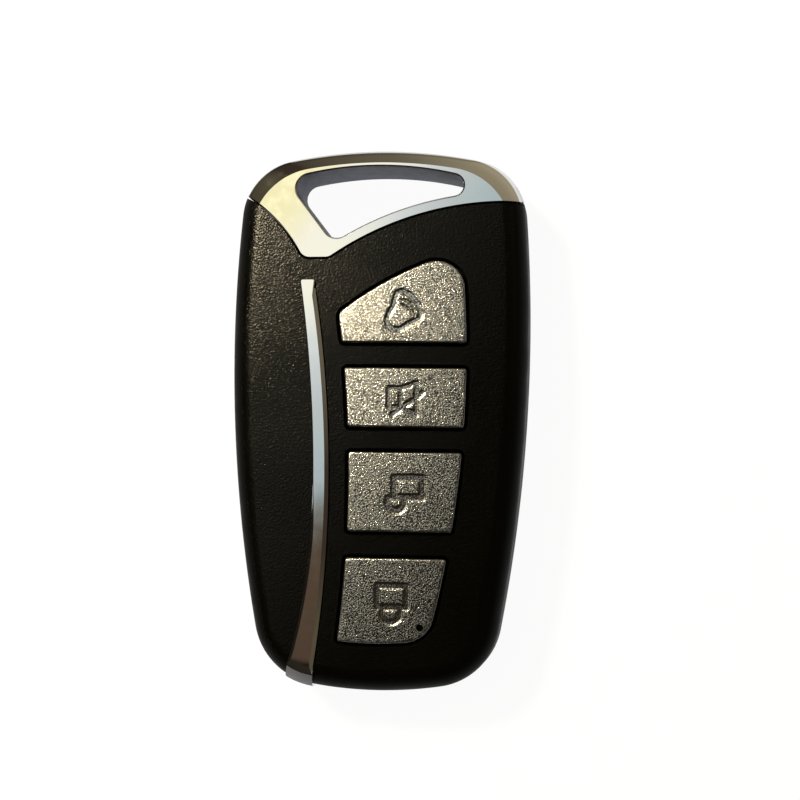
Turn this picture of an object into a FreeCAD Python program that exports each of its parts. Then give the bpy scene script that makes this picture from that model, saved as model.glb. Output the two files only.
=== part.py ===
"""Gate remote control: a pocket transmitter with four keys, a bright trim strip and a key ring loop.

It lies on its back. +Z is out of the keys, +Y is towards the loop, and the origin is the middle of the
rear face. All sizes are in millimetres.
"""

import FreeCAD
import Part
import math
import os

Vec = FreeCAD.Vector
UP = Vec(0, 0, 1)

# Rows of keys, from the top of the body down
head_height = 26.28         # top of the body to the lower edge of the alarm key
alarm_horn_gap = 3.27
horn_height = 7.85
horn_unlock_gap = 3.2
unlock_height = 10.45
unlock_lock_gap = 3.4
lock_height = 11.2
bottom_land = 6.35          # lower edge of the lock key to the bottom of the body

# Body outline: six tangent arcs, mirrored about Y
half_width = 19.73
widest_below_top = 25.0
top_radius = 64.0
top_corner_radius = 8.0
side_radius = 218.0
bottom_corner_radius = 9.2
bottom_radius = 54.4

# Body section
body_thickness = 12.6       # rear face to the highest point of the front face
parting_height = 6.0
crown_along_radius = 320.0
crown_across_radius = 160.0
front_edge_roll = 3.0
rear_edge_roll = 2.6
side_wall = 1.5
front_wall = 1.5
rear_wall = 1.5
lip_thickness = 0.7
lip_height = 0.8
lip_clearance = 0.05
parting_chamfer = 0.15

# Notch where the loop meets the shells: two arcs and a short flat tip
notch_tip_below_top = 14.8
notch_tip_radius = 1.5
left_arc_radius = 21.4
left_arc_x = -29.2
left_arc_below_top = 24.55
right_arc_radius = 42.3
right_arc_x = 17.5
right_arc_below_top = 49.5
notch_gap = 0.12

# Key ring loop
window_top_bar = 2.6
window_top_radius = 46.0
window_top_x = -0.3
window_lower_bar = 1.3
window_left_bar = 4.0
window_left_tilt = 37.8     # degrees, from the left edge to +Y
window_left_corner = 1.9
window_right_corner = 1.7
window_tip_corner = 1.9
loop_rear_height = 0.8
loop_rear_bevel = 1.2
loop_bevel_height = 7.0     # where the outer bevel starts
loop_bevel_top_inset = 1.77
loop_bevel_side_inset = 2.65
loop_bevel_corner = 9.2

# Tongue of the loop, which the shells hold on three posts
tongue_height = 4.6
tongue_thickness = 3.0
tongue_reach = 0.4          # how far it goes below the notch tip
tongue_clearance = 0.08
tongue_side_gap = 0.3
post_radius = 1.0
post_clearance = 0.1
post_land_radius = 1.8
post_head = 1.5             # height of the posts above the tongue
post_places = ((-15.6, 12.4), (4.6, 13.1), (14.8, 12.2))    # x, and distance below the top

# Trim strip
trim_top_below_tip = 3.0
trim_right_inset = 13.78    # left side of the body to the strip's right edge
trim_waist_below_top = 45.2
trim_waist_width = 2.18
trim_right_radius = 150.0
trim_upper_left_radius = 165.0
trim_lower_left_radius = 85.0
trim_end_round = 0.35
trim_depth = 0.9
trim_proud = 0.35
trim_low_gap = 0.7          # from the lip's groove up to the strip's lower end
trim_clearance = 0.06
trim_pin_radius = 0.6
trim_pin_clearance = 0.06
trim_pin_head_radius = 1.05
trim_pin_head = 0.4
trim_pin_pitch = 18.0
trim_pin_count = 3

# Keys
key_trim_land = 2.52
key_side_land = 7.85
key_side_radius = 138.0
key_side_below_top = 29.5
key_gap = 0.28
key_proud = 0.4
key_edge_round = 0.3
key_corner = 0.45
key_inner_corner = 0.3
key_top_wall = 1.1
key_side_wall = 0.9
key_flange_reach = 0.7
key_flange_thickness = 0.8
key_flange_gap = 0.1
alarm_left_side = 3.88
alarm_rise = 8.35
alarm_bow = 0.95
alarm_left_corner = 1.2
alarm_right_corner = 3.8
lock_right_corner = 4.2
nib_radius = 1.3
lamp_hole_radius = 0.45

# Switches, each at an x and a height above the lower edge of its key
alarm_switch_x = 4.6
alarm_switch_rise = 3.9
horn_switch_x = 4.2
horn_switch_rise = 3.8
unlock_switch_x = 3.9
unlock_switch_rise = 5.2
lock_switch_x = 1.3
lock_switch_rise = 6.4
switch_side = 5.2
switch_base_height = 0.9
switch_recess_radius = 1.95
switch_recess_floor = 0.25
cover_thickness = 0.2
cover_hole_radius = 1.1
cover_tab_width = 2.2
cover_tab_drop = 0.6
plunger_radius = 1.0
plunger_rise = 0.4          # plunger above the cover
plunger_collar_radius = 1.5
plunger_collar = 0.16
dome_radius = 1.75
dome_rise = 0.34
dome_thickness = 0.08
running_gap = 0.02
leg_width = 0.7
leg_thickness = 0.15
leg_reach = 0.6
leg_spacing = 3.7

# Circuit board
board_thickness = 1.0
board_gap = 0.4
board_below_tongue = 0.4

# Coin cell and its contacts
cell_radius = 10.0
cell_height = 3.2
cell_below_top = 41.0
cell_cap_radius = 8.75
cell_cap_proud = 0.25
cell_can_wall = 0.25
cell_seal = 0.35
cell_edge_round = 0.15
sheet_thickness = 0.3
strap_gap = 0.3
strap_width = 7.0
strap_side_gap = 0.1
strap_foot = 1.8
contact_radius = 6.0
contact_hole_radius = 1.2
contact_rim = 1.2
contact_slit = 0.6
contact_fingers = 6
nest_gap = 0.3
nest_thickness = 0.8
nest_height = 3.0
nest_slot_gap = 0.5

# Screws
screw_spacing = 41.5        # lower to upper pair of screws
screw_above_bottom = 7.7
screw_inset = 4.6
screw_radius = 0.75
screw_hole_clearance = 0.15
screw_pilot_clearance = 0.04
screw_length = 7.6
screw_point = 0.3
screw_head_radius = 1.5
screw_head_height = 0.9
screw_head_round = 0.3
screw_head_gap = 0.2
screw_seat_height = 1.2
screw_cross_width = 0.5
screw_cross_length = 1.9
screw_cross_depth = 0.5
column_radius = 2.6
boss_radius = 2.0
pilot_extra = 0.5

# Small parts on the board
lead_width = 0.4
lead_thickness = 0.15
lead_reach = 0.9
chip_length = 4.9
chip_width = 3.9
chip_height = 1.4
chip_standoff = 0.15
chip_pin_count = 4          # on each side
chip_pin_pitch = 1.27
resonator_side = 5.0
resonator_base = 0.7
resonator_height = 1.35
resonator_step = 0.3
transistor_length = 2.9
transistor_width = 1.4
transistor_height = 1.0
transistor_lead_row = 0.95
passive_length = 1.6
passive_width = 0.8
passive_height = 0.5
passive_end = 0.35
passive_step = 0.03
passive_pitch = 2.2
lamp_x = 6.15
lamp_rise = 2.25            # above the lower edge of the lock key
lamp_length = 1.25
lamp_width = 2.0
lamp_height = 0.5
lamp_lens_radius = 0.5
track_thickness = 0.1
track_width = 1.0
track_edge_gap = 1.2
track_x = 9.7
track_below_top = 27.0
track_length = 31.0
track_gap = 1.0
parts_column_x = 12.6       # middle of the chips right of the switches
left_column_x = -3.6        # middle of the chip parts left of the switches
resonator_below_top = 29.5
chip_below_top = 38.2
transistor_below_top = 45.5
resistor_below_top = 49.5
capacitor_below_top = 17.5
inductor_below_top = 52.5

# Heights and rows that follow from the sizes above
body_length = (head_height + alarm_horn_gap + horn_height + horn_unlock_gap + unlock_height
               + unlock_lock_gap + lock_height + bottom_land)
top_y = body_length / 2
bottom_y = -top_y
alarm_low = top_y - head_height
horn_top = alarm_low - alarm_horn_gap
horn_low = horn_top - horn_height
unlock_top = horn_low - horn_unlock_gap
unlock_low = unlock_top - unlock_height
lock_top = unlock_low - unlock_lock_gap
lock_low = lock_top - lock_height
tip_y = top_y - notch_tip_below_top
strap_bottom = rear_wall + strap_gap
cell_bottom = strap_bottom + sheet_thickness
contact_bottom = cell_bottom + cell_height
board_bottom = contact_bottom + sheet_thickness
board_top = board_bottom + board_thickness
plunger_height = board_top + switch_base_height + cover_thickness + plunger_rise
tongue_low_y = tip_y - tongue_reach
tongue_top = tongue_height + tongue_thickness
post_top = tongue_top + post_head
trim_low = parting_height + lip_height + lip_clearance + trim_low_gap
screw_tip = screw_seat_height + screw_length
far = 2 * body_length       # reach of a tool that has to clear the whole part

# Circles of the plan, each a centre and a radius
TOP = ((0.0, top_y - top_radius), top_radius)
SIDE = ((half_width - side_radius, top_y - widest_below_top), side_radius)
BOTTOM = ((0.0, bottom_y + bottom_radius), bottom_radius)
NOTCH_LEFT = ((left_arc_x, top_y - left_arc_below_top), left_arc_radius)
NOTCH_RIGHT = ((right_arc_x, top_y - right_arc_below_top), right_arc_radius)


def circle_x(circle, y, side=1):
    """x of a circle's right (1) or left (-1) side at a height."""
    (cx, cy), r = circle
    return cx + side * math.sqrt(r * r - (y - cy) ** 2)


def circle_y(circle, x, side=1):
    """y of a circle's upper (1) or lower (-1) side at a place across."""
    (cx, cy), r = circle
    return cy + side * math.sqrt(r * r - (x - cx) ** 2)


def grown(circle, by):
    """The circle about the same centre with a larger radius."""
    return circle[0], circle[1] + by


def circles_meet(first, second, pick):
    """The point where two circles cross, the one for which pick is largest."""
    (ax, ay), ra = first
    (bx, by), rb = second
    apart = math.hypot(bx - ax, by - ay)
    along = (ra * ra - rb * rb + apart * apart) / (2 * apart)
    off = math.sqrt(ra * ra - along * along)
    ux, uy = (bx - ax) / apart, (by - ay) / apart
    found = [(ax + ux * along - s * uy * off, ay + uy * along + s * ux * off) for s in (-1, 1)]
    return max(found, key=pick)


def arc_edge(circle, start, end, z):
    """The short arc of a circle between two of its points."""
    (cx, cy), r = circle
    mx, my = (start[0] + end[0]) / 2 - cx, (start[1] + end[1]) / 2 - cy
    k = r / math.hypot(mx, my)
    points = [Vec(start[0], start[1], z), Vec(cx + mx * k, cy + my * k, z), Vec(end[0], end[1], z)]
    return Part.Arc(*points).toShape()


def line_edge(start, end, z):
    return Part.LineSegment(Vec(start[0], start[1], z), Vec(end[0], end[1], z)).toShape()


def outline_wire(z, inset=0.0, top_inset=None, top_corner=None):
    """The body's outline, moved inwards. The top may move and round by its own amounts."""
    top = grown(TOP, -(inset if top_inset is None else top_inset))
    side = grown(SIDE, -inset)
    bottom = grown(BOTTOM, -inset)
    upper_r = top_corner_radius - inset if top_corner is None else top_corner
    lower_r = bottom_corner_radius - inset
    upper = circles_meet(grown(top, -upper_r), grown(side, -upper_r), lambda p: p[0])
    lower = circles_meet(grown(bottom, -lower_r), grown(side, -lower_r), lambda p: p[0])

    def touch(circle, centre):
        (cx, cy), r = circle
        k = r / math.hypot(centre[0] - cx, centre[1] - cy)
        return cx + (centre[0] - cx) * k, cy + (centre[1] - cy) * k

    def mirrored(circle):
        return (-circle[0][0], circle[0][1]), circle[1]

    top_touch, side_high = touch(top, upper), touch(side, upper)
    side_low, bottom_touch = touch(side, lower), touch(bottom, lower)
    right = [
        ((upper, upper_r), top_touch, side_high),
        (side, side_high, side_low),
        ((lower, lower_r), side_low, bottom_touch),
    ]
    edges = [arc_edge(top, (-top_touch[0], top_touch[1]), top_touch, z)]
    edges += [arc_edge(c, a, b, z) for c, a, b in right]
    edges.append(arc_edge(bottom, bottom_touch, (-bottom_touch[0], bottom_touch[1]), z))
    edges += [arc_edge(mirrored(c), (-b[0], b[1]), (-a[0], a[1]), z) for c, a, b in reversed(right)]
    return Part.Wire(edges)


def side_x(y):
    """Half width of the body at a height on its long sides."""
    return circle_x(SIDE, y)


def prism(wire, z_low, z_high):
    """The wire's face, drawn at z_low, raised to z_high."""
    return Part.Face(wire).extrude(UP * (z_high - z_low))


def body_prism(inset, z_low, z_high):
    return prism(outline_wire(z_low, inset), z_low, z_high)


def rounded_upright(solid, corners):
    """Rounds the upright edges that stand at the given (x, y, radius) corners."""
    for x, y, radius in corners:
        edges = [e for e in solid.Edges if len(e.Vertexes) == 2
                 and all(math.hypot(v.X - x, v.Y - y) < 1e-4 for v in e.Vertexes)]
        solid = solid.makeFillet(radius, edges)
    return solid


def under_crown(lower=0.0):
    """Everything below the front face, which is crowned both ways, or below the face moved inwards."""
    z = body_thickness - lower
    reach = body_length
    half = math.sqrt((crown_along_radius - lower) ** 2 - reach ** 2)
    edge_z = body_thickness - crown_along_radius + half
    arc = Part.Arc(Vec(0, -reach, edge_z), Vec(0, 0, z), Vec(0, reach, edge_z)).toShape()
    floor_z = edge_z - body_thickness
    ends = [Vec(0, reach, edge_z), Vec(0, reach, floor_z), Vec(0, -reach, floor_z), Vec(0, -reach, edge_z)]
    wire = Part.Wire([arc] + [Part.LineSegment(a, b).toShape() for a, b in zip(ends, ends[1:])])
    axis_point = Vec(0, 0, body_thickness - crown_across_radius)
    swing = math.degrees(math.asin(2 * half_width / crown_across_radius))
    face = Part.Face(wire)
    face.rotate(axis_point, Vec(0, 1, 0), -swing)
    return face.revolve(axis_point, Vec(0, 1, 0), 2 * swing)


def crown_z(x, y, lower=0.0):
    """Height of the front face, or of the face moved inwards, at a place on it."""
    drop = crown_along_radius - math.sqrt((crown_along_radius - lower) ** 2 - y * y)
    ring = crown_across_radius - drop
    return body_thickness - crown_across_radius + math.sqrt(ring * ring - x * x)


def front_skin(inset, z_low):
    """The front half as a full block: outline, crown and rolled edge, all moved inwards alike."""
    block = body_prism(inset, z_low, body_thickness + far).common(under_crown(inset))
    rim = [e for e in block.Edges if e.BoundBox.ZMin > parting_height + 1e-3
           and e.BoundBox.ZLength < body_thickness - parting_height]
    return block.makeFillet(front_edge_roll - inset, rim)


def notch_tool(grow, z_low, z_high):
    """The loop's side of the notch, with its edge moved by grow towards the shells."""
    left, right = grown(NOTCH_LEFT, -grow), grown(NOTCH_RIGHT, -grow)
    tip = tip_y - grow
    left_end = (left[0][0], left[0][1] + left[1])
    right_end = (2 * half_width, circle_y(right, 2 * half_width))
    left_tip, right_tip = (circle_x(left, tip), tip), (circle_x(right, tip, -1), tip)
    edges = [arc_edge(left, left_end, left_tip, z_low), line_edge(left_tip, right_tip, z_low),
             arc_edge(right, right_tip, right_end, z_low)]
    corners = [right_end, (right_end[0], far), (left_end[0], far), left_end]
    edges += [line_edge(a, b, z_low) for a, b in zip(corners, corners[1:])]
    solid = prism(Part.Wire(edges), z_low, z_high)
    radius = notch_tip_radius + grow
    return rounded_upright(solid, [(*left_tip, radius), (*right_tip, radius)])


def window_tool(z_low, z_high):
    """The loop's opening: a straight left edge between two arcs, with round corners."""
    top = ((window_top_x, top_y - window_top_bar - window_top_radius), window_top_radius)
    lower = grown(NOTCH_RIGHT, window_lower_bar)
    tilt = math.radians(window_left_tilt)
    reach = left_arc_radius + window_left_bar
    foot = (NOTCH_LEFT[0][0] + reach * math.cos(tilt), NOTCH_LEFT[0][1] + reach * math.sin(tilt))

    def edge_meets(circle, pick):
        (cx, cy), r = circle
        dx, dy = -math.sin(tilt), math.cos(tilt)
        fx, fy = foot[0] - cx, foot[1] - cy
        half = fx * dx + fy * dy
        root = math.sqrt(half * half - (fx * fx + fy * fy - r * r))
        found = [(foot[0] + dx * t, foot[1] + dy * t) for t in (-half - root, -half + root)]
        return max(found, key=pick)

    upper_left = edge_meets(top, lambda p: p[1])
    tip = edge_meets(lower, lambda p: p[1])
    right = circles_meet(top, lower, lambda p: p[1])
    wire = Part.Wire([arc_edge(top, upper_left, right, z_low), arc_edge(lower, right, tip, z_low),
                      line_edge(tip, upper_left, z_low)])
    corners = [(*upper_left, window_left_corner), (*right, window_right_corner), (*tip, window_tip_corner)]
    return rounded_upright(prism(wire, z_low, z_high), corners)


def trim_right_circle(grow=0.0):
    apex = -half_width + trim_right_inset
    return (apex - trim_right_radius, top_y - trim_waist_below_top), trim_right_radius + grow


def trim_tool(grow, z_low, z_high):
    """The strip's plan: a waist that flares towards the bottom edge."""
    waist_y = top_y - trim_waist_below_top
    right = trim_right_circle(grow)
    left_x = -half_width + trim_right_inset - trim_waist_width - grow
    upper = ((left_x - trim_upper_left_radius, waist_y), trim_upper_left_radius)
    lower = ((left_x - trim_lower_left_radius, waist_y), trim_lower_left_radius)
    high, low = tip_y - trim_top_below_tip + grow, bottom_y - trim_depth
    high_right, low_right = (circle_x(right, high), high), (circle_x(right, low), low)
    high_left, low_left = (circle_x(upper, high), high), (circle_x(lower, low), low)
    waist = (left_x, waist_y)
    wire = Part.Wire([arc_edge(right, high_right, low_right, z_low), line_edge(low_right, low_left, z_low),
                      arc_edge(lower, low_left, waist, z_low), arc_edge(upper, waist, high_left, z_low),
                      line_edge(high_left, high_right, z_low)])
    radius = trim_end_round + grow
    return rounded_upright(prism(wire, z_low, z_high), [(*high_right, radius), (*high_left, radius)])


def trim_pin_places():
    waist_y = top_y - trim_waist_below_top
    middle = (trim_pin_count - 1) / 2
    rows = [waist_y + (i - middle) * trim_pin_pitch for i in range(trim_pin_count)]
    return [(circle_x(trim_right_circle(), y) - trim_waist_width / 2, y) for y in rows]


def key_side_circle():
    return (half_width - key_side_land - key_side_radius, top_y - key_side_below_top), key_side_radius


def key_plan(low, high, radii, grow=0.0):
    """A key's plan as a face at z 0, moved outwards by grow. Its rows are heights or circles."""
    left, right = trim_right_circle(key_trim_land - grow), grown(key_side_circle(), grow)

    def moved(row, up):
        return grown(row, grow) if isinstance(row, tuple) else row + up * grow

    def corner(side, row, up):
        if isinstance(row, tuple):
            return circles_meet(side, row, lambda p: up * p[1])
        return circle_x(side, row), row

    def row_edge(row, start, end):
        return arc_edge(row, start, end, 0) if isinstance(row, tuple) else line_edge(start, end, 0)

    low, high = moved(low, -1), moved(high, 1)
    low_left, low_right = corner(left, low, -1), corner(right, low, -1)
    high_left, high_right = corner(left, high, 1), corner(right, high, 1)
    wire = Part.Wire([row_edge(low, low_right, low_left), arc_edge(left, low_left, high_left, 0),
                      row_edge(high, high_left, high_right), arc_edge(right, high_right, low_right, 0)])
    places = zip((low_left, high_left, high_right, low_right), radii)
    corners = [(*p, max(r + grow, key_inner_corner)) for p, r in places]
    solid = rounded_upright(prism(wire, 0, 1), corners)
    return min(solid.Faces, key=lambda f: f.CenterOfMass.z)


def bow_circle(start, end, rise):
    """The circle through two points that bows upwards between them by rise."""
    chord = math.hypot(end[0] - start[0], end[1] - start[1])
    nx, ny = -(end[1] - start[1]) / chord, (end[0] - start[0]) / chord
    r = (chord * chord / 4 + rise * rise) / (2 * rise)
    back = r - rise
    return ((start[0] + end[0]) / 2 - nx * back, (start[1] + end[1]) / 2 - ny * back), r


def key_rows():
    """Each key's name, lower row, upper row, corner radii and switch place."""
    left = trim_right_circle(key_trim_land)
    start_y, end_y = alarm_low + alarm_left_side, alarm_low + alarm_left_side + alarm_rise
    start, end = (circle_x(left, start_y), start_y), (circle_x(key_side_circle(), end_y), end_y)
    slope = bow_circle(start, end, alarm_bow)
    lock_row = grown(BOTTOM, -bottom_land)
    plain = (key_corner,) * 4
    alarm_radii = (key_corner, alarm_left_corner, alarm_right_corner, key_corner)
    lock_radii = (key_corner, key_corner, key_corner, lock_right_corner)
    return [
        ("alarm", alarm_low, slope, alarm_radii, (alarm_switch_x, alarm_low + alarm_switch_rise)),
        ("horn", horn_low, horn_top, plain, (horn_switch_x, horn_low + horn_switch_rise)),
        ("unlock", unlock_low, unlock_top, plain, (unlock_switch_x, unlock_low + unlock_switch_rise)),
        ("lock", lock_row, lock_top, lock_radii, (lock_switch_x, lock_low + lock_switch_rise)),
    ]


def key_prism(row, grow, z_low, z_high):
    """A key's plan, moved outwards by grow, as an upright block."""
    face = key_plan(*row[1:4], grow)
    face.translate(UP * z_low)
    return face.extrude(UP * (z_high - z_low))


def cylinder(radius, z_low, z_high, place):
    return Part.makeCylinder(radius, z_high - z_low, Vec(place[0], place[1], z_low))


def block(x_low, x_high, y_low, y_high, z_low, z_high):
    return Part.makeBox(x_high - x_low, y_high - y_low, z_high - z_low, Vec(x_low, y_low, z_low))


def screw_places():
    low = bottom_y + screw_above_bottom
    return [(s * (side_x(y) - screw_inset), y) for y in (low, low + screw_spacing) for s in (-1, 1)]


def post_points():
    return [(x, top_y - below) for x, below in post_places]


def lamp_place():
    return lamp_x, lock_low + lamp_rise


def cell_place():
    return 0.0, top_y - cell_below_top


def chip_place():
    return parts_column_x, top_y - chip_below_top


def transistor_place():
    return parts_column_x, top_y - transistor_below_top


def resonator_place():
    return parts_column_x, top_y - resonator_below_top


def column_places(x, below, count):
    """Places one under another, from a distance below the top of the body."""
    return [(x, top_y - below - i * passive_pitch) for i in range(count)]


def resistor_places():
    return column_places(parts_column_x - passive_pitch / 2, resistor_below_top, 5)


def capacitor_places():
    return column_places(left_column_x, capacitor_below_top, 6)


def inductor_places():
    return column_places(left_column_x, inductor_below_top, 2)


def tongue_block(grow):
    """The loop's tongue, which runs under the shells' end walls."""
    inset = side_wall + tongue_side_gap - grow
    tongue = body_prism(inset, tongue_height - grow, tongue_top + grow)
    keep = block(-far, far, tongue_low_y - grow, far, 0, body_thickness)
    return tongue.common(keep)


def key_loop():
    """The bright loop: a bevelled ring round the window, with its tongue."""
    ring = body_prism(0, loop_rear_height, body_thickness).common(under_crown())
    ring = ring.common(notch_tool(0, 0, far))
    slope = (body_thickness - loop_bevel_height) / (crown_z(0, top_y) - loop_bevel_height)
    taper = Part.makeLoft([
        outline_wire(loop_bevel_height),
        outline_wire(body_thickness, loop_bevel_side_inset * slope, loop_bevel_top_inset * slope,
                     loop_bevel_corner),
    ], True, True)
    middle = body_prism(0, loop_rear_height + loop_rear_bevel, loop_bevel_height)
    rear = Part.makeLoft([
        outline_wire(loop_rear_height, loop_rear_bevel),
        outline_wire(loop_rear_height + loop_rear_bevel),
    ], True, True)
    ring = ring.common(taper.fuse([middle, rear]))
    loop = ring.fuse(tongue_block(0)).removeSplitter()
    holes = [cylinder(post_radius + post_clearance, 0, body_thickness, p) for p in post_points()]
    return loop.cut([window_tool(0, body_thickness)] + holes)


def shell_room(z_low, z_high, wall=side_wall):
    """The room inside the shells' walls, between two heights."""
    room = body_prism(wall, z_low, z_high)
    return room.cut(notch_tool(notch_gap + wall, z_low, z_high))


def lip_ring(outer_inset, height, notch_grow):
    """A ring on the parting plane, inside the side walls, which ends at the notch's wall."""
    high = parting_height + height
    ring = body_prism(outer_inset, parting_height, high).cut(body_prism(side_wall, parting_height, high))
    return ring.cut(notch_tool(notch_grow, parting_height, high))


def chamfered_at_parting(solid):
    """Breaks the outer edge on the parting plane, so that the two shells meet in a fine groove."""
    box_low, box_high = parting_height - 1e-3, parting_height + 1e-3
    edges = [e for e in solid.Edges if e.BoundBox.ZMin > box_low and e.BoundBox.ZMax < box_high]
    return solid.makeChamfer(parting_chamfer, edges)


def front_shell(skin, channel_floor, keys):
    """The front half: a crowned cover with rolled edges, four key openings and the strip's channel."""
    room = shell_room(parting_height, body_thickness).common(under_crown(front_wall))
    shell = chamfered_at_parting(skin).cut(room)
    bosses = [cylinder(boss_radius, board_top, body_thickness, p) for p in screw_places()]
    bosses += [cylinder(post_land_radius, tongue_top, body_thickness, p) for p in post_points()]
    ceiling = under_crown(front_wall / 2)
    shell = shell.fuse([b.common(ceiling) for b in bosses])
    cuts = [notch_tool(notch_gap, 0, body_thickness), tongue_block(tongue_clearance)]
    rebate = side_wall - lip_thickness - lip_clearance
    cuts.append(lip_ring(rebate, lip_height + lip_clearance, notch_gap + side_wall - lip_clearance))
    cuts += [key_prism(row, key_gap, parting_height, body_thickness) for row in keys]
    channel = trim_tool(trim_clearance, trim_low - trim_clearance, body_thickness).cut(channel_floor)
    cuts.append(channel)
    pins = trim_pin_radius + trim_pin_clearance
    cuts += [cylinder(pins, board_top, body_thickness, p) for p in trim_pin_places()]
    pilots = screw_radius + screw_pilot_clearance
    cuts += [cylinder(pilots, 0, screw_tip + pilot_extra, p) for p in screw_places()]
    sockets = post_radius + post_clearance
    cuts += [cylinder(sockets, 0, post_top + pilot_extra, p) for p in post_points()]
    return shell.cut(cuts)


def rear_shell():
    """The rear half: a tray with a rolled edge, screw columns, loop posts and a nest for the coin cell."""
    tray = body_prism(0, 0, parting_height)
    tray = tray.makeFillet(rear_edge_roll, [e for e in tray.Edges if e.BoundBox.ZMax < 1e-3])
    tray = chamfered_at_parting(tray).cut(shell_room(rear_wall, parting_height))
    ribs = [lip_ring(side_wall - lip_thickness, lip_height, notch_gap + side_wall)]
    ribs += [cylinder(column_radius, rear_wall, board_bottom, p) for p in screw_places()]
    ribs += [cylinder(post_land_radius, rear_wall, tongue_height, p) for p in post_points()]
    ribs.append(cell_nest())
    tray = tray.fuse(ribs)
    cuts = [notch_tool(notch_gap, 0, body_thickness), tongue_block(tongue_clearance)]
    for place in screw_places():
        cuts.append(cylinder(screw_radius + screw_hole_clearance, 0, board_bottom, place))
        cuts.append(cylinder(screw_head_radius + screw_head_gap, 0, screw_seat_height, place))
    tray = tray.cut(cuts)
    return tray.fuse([cylinder(post_radius, rear_wall, post_top, p) for p in post_points()])


def cell_nest():
    """A low ring round the coin cell, open where the positive contact's legs pass."""
    x, y = cell_place()
    inner = cell_radius + nest_gap
    high = rear_wall + nest_height
    ring = cylinder(inner + nest_thickness, rear_wall, high, (x, y))
    slot = strap_width / 2 + nest_slot_gap
    reach = inner + 2 * nest_thickness
    return ring.cut([cylinder(inner, rear_wall, high, (x, y)),
                     block(x - reach, x + reach, y - slot, y + slot, rear_wall, high)])


def trim_strip(channel_floor):
    """The bright strip in its channel, with staked pins through the front shell."""
    strip = trim_tool(0, trim_low, body_thickness + far).common(front_skin(-trim_proud, 0))
    strip = strip.cut(channel_floor)
    ceiling = under_crown(front_wall)
    under_head = under_crown(front_wall + trim_pin_head)
    pins = [cylinder(trim_pin_radius, board_top, body_thickness, p) for p in trim_pin_places()]
    pins = [p.common(under_crown(trim_depth / 2)).cut(under_head) for p in pins]
    heads = [cylinder(trim_pin_head_radius, board_top, body_thickness, p) for p in trim_pin_places()]
    heads = [h.common(ceiling).cut(under_head) for h in heads]
    return strip.fuse(pins + heads)


def keycap(row):
    """A hollow key with a crowned top, a flange that holds it under the front shell and a nib."""
    roof = key_prism(row, 0, board_top, body_thickness + far).common(under_crown(-key_proud))
    rim = [e for e in roof.Edges
           if e.BoundBox.ZMin > parting_height and abs(e.tangentAt(e.FirstParameter).z) < 0.5]
    roof = roof.makeFillet(key_edge_round, rim)
    flange_top = front_wall + key_flange_gap
    flange = key_prism(row, key_gap + key_flange_reach, board_top, body_thickness)
    key = roof.fuse(flange.common(under_crown(flange_top)))
    key = key.cut(under_crown(flange_top + key_flange_thickness))
    hollow = key_prism(row, -key_side_wall, 0, body_thickness)
    key = key.cut(hollow.common(under_crown(key_top_wall - key_proud)))
    nib = cylinder(nib_radius, plunger_height, body_thickness, row[4])
    key = key.fuse(nib.common(under_crown(key_top_wall / 2)))
    if row[0] == "lock":
        key = key.cut(cylinder(lamp_hole_radius, 0, far, lamp_place()))
    return key


def switch_parts(name, place):
    """A low tact switch: base, cover, plunger and snap dome, by name."""
    x, y = place
    half = switch_side / 2
    base_top = board_top + switch_base_height
    floor = board_top + switch_recess_floor
    base = block(x - half, x + half, y - half, y + half, board_top, base_top)
    base = base.cut(cylinder(switch_recess_radius, floor, base_top, place))
    cover_top = base_top + cover_thickness
    cover = block(x - half, x + half, y - half, y + half, base_top, cover_top)
    cover = cover.cut(cylinder(cover_hole_radius, base_top, cover_top, place))
    tab = cover_tab_width / 2
    outer = half + cover_thickness
    tabs = [block(x - tab, x + tab, y + min(s * half, s * outer), y + max(s * half, s * outer),
                  base_top - cover_tab_drop, cover_top) for s in (-1, 1)]
    cover = cover.fuse(tabs)
    ball = (dome_radius ** 2 + dome_rise ** 2) / (2 * dome_rise)
    centre = Vec(x, y, floor + dome_rise - ball)
    dome = Part.makeSphere(ball, centre).cut(Part.makeSphere(ball - dome_thickness, centre))
    dome = dome.common(cylinder(dome_radius, floor, base_top, place))
    low = floor + dome_rise + running_gap
    plunger = cylinder(plunger_collar_radius, low, low + plunger_collar, place)
    plunger = plunger.fuse(cylinder(plunger_radius, low, plunger_height, place))
    return {name + "_switch_base": base, name + "_switch_cover": cover,
            name + "_switch_plunger": plunger, name + "_switch_dome": dome}


def switch_terminals(places):
    """The switches' soldered legs, four to a switch."""
    legs = []
    for x, y in places:
        for sx in (-1, 1):
            for sy in (-1, 1):
                near = x + sx * switch_side / 2
                bend, tip = near + sx * leg_thickness, near + sx * leg_reach
                low_y = y + sy * leg_spacing / 2 - leg_width / 2
                foot = block(min(near, tip), max(near, tip), low_y, low_y + leg_width,
                             board_top, board_top + leg_thickness)
                riser = block(min(near, bend), max(near, bend), low_y, low_y + leg_width,
                              board_top, board_top + switch_base_height / 2)
                legs.append(foot.fuse(riser))
    return Part.Compound(legs)


def circuit_board():
    """The board, clamped by the screws between the rear columns and the front bosses."""
    board = shell_room(board_bottom, board_top, side_wall + board_gap)
    keep = block(-far, far, -far, tongue_low_y - board_below_tongue, 0, body_thickness)
    holes = [cylinder(screw_radius + screw_hole_clearance, 0, body_thickness, p) for p in screw_places()]
    return board.common(keep).cut(holes)


def on_board(length, width, height, place, lift=0.0):
    """A block on the board about a place, its length along Y."""
    x, y = place
    low = board_top + lift
    return block(x - width / 2, x + width / 2, y - length / 2, y + length / 2, low, board_top + height)


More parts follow.
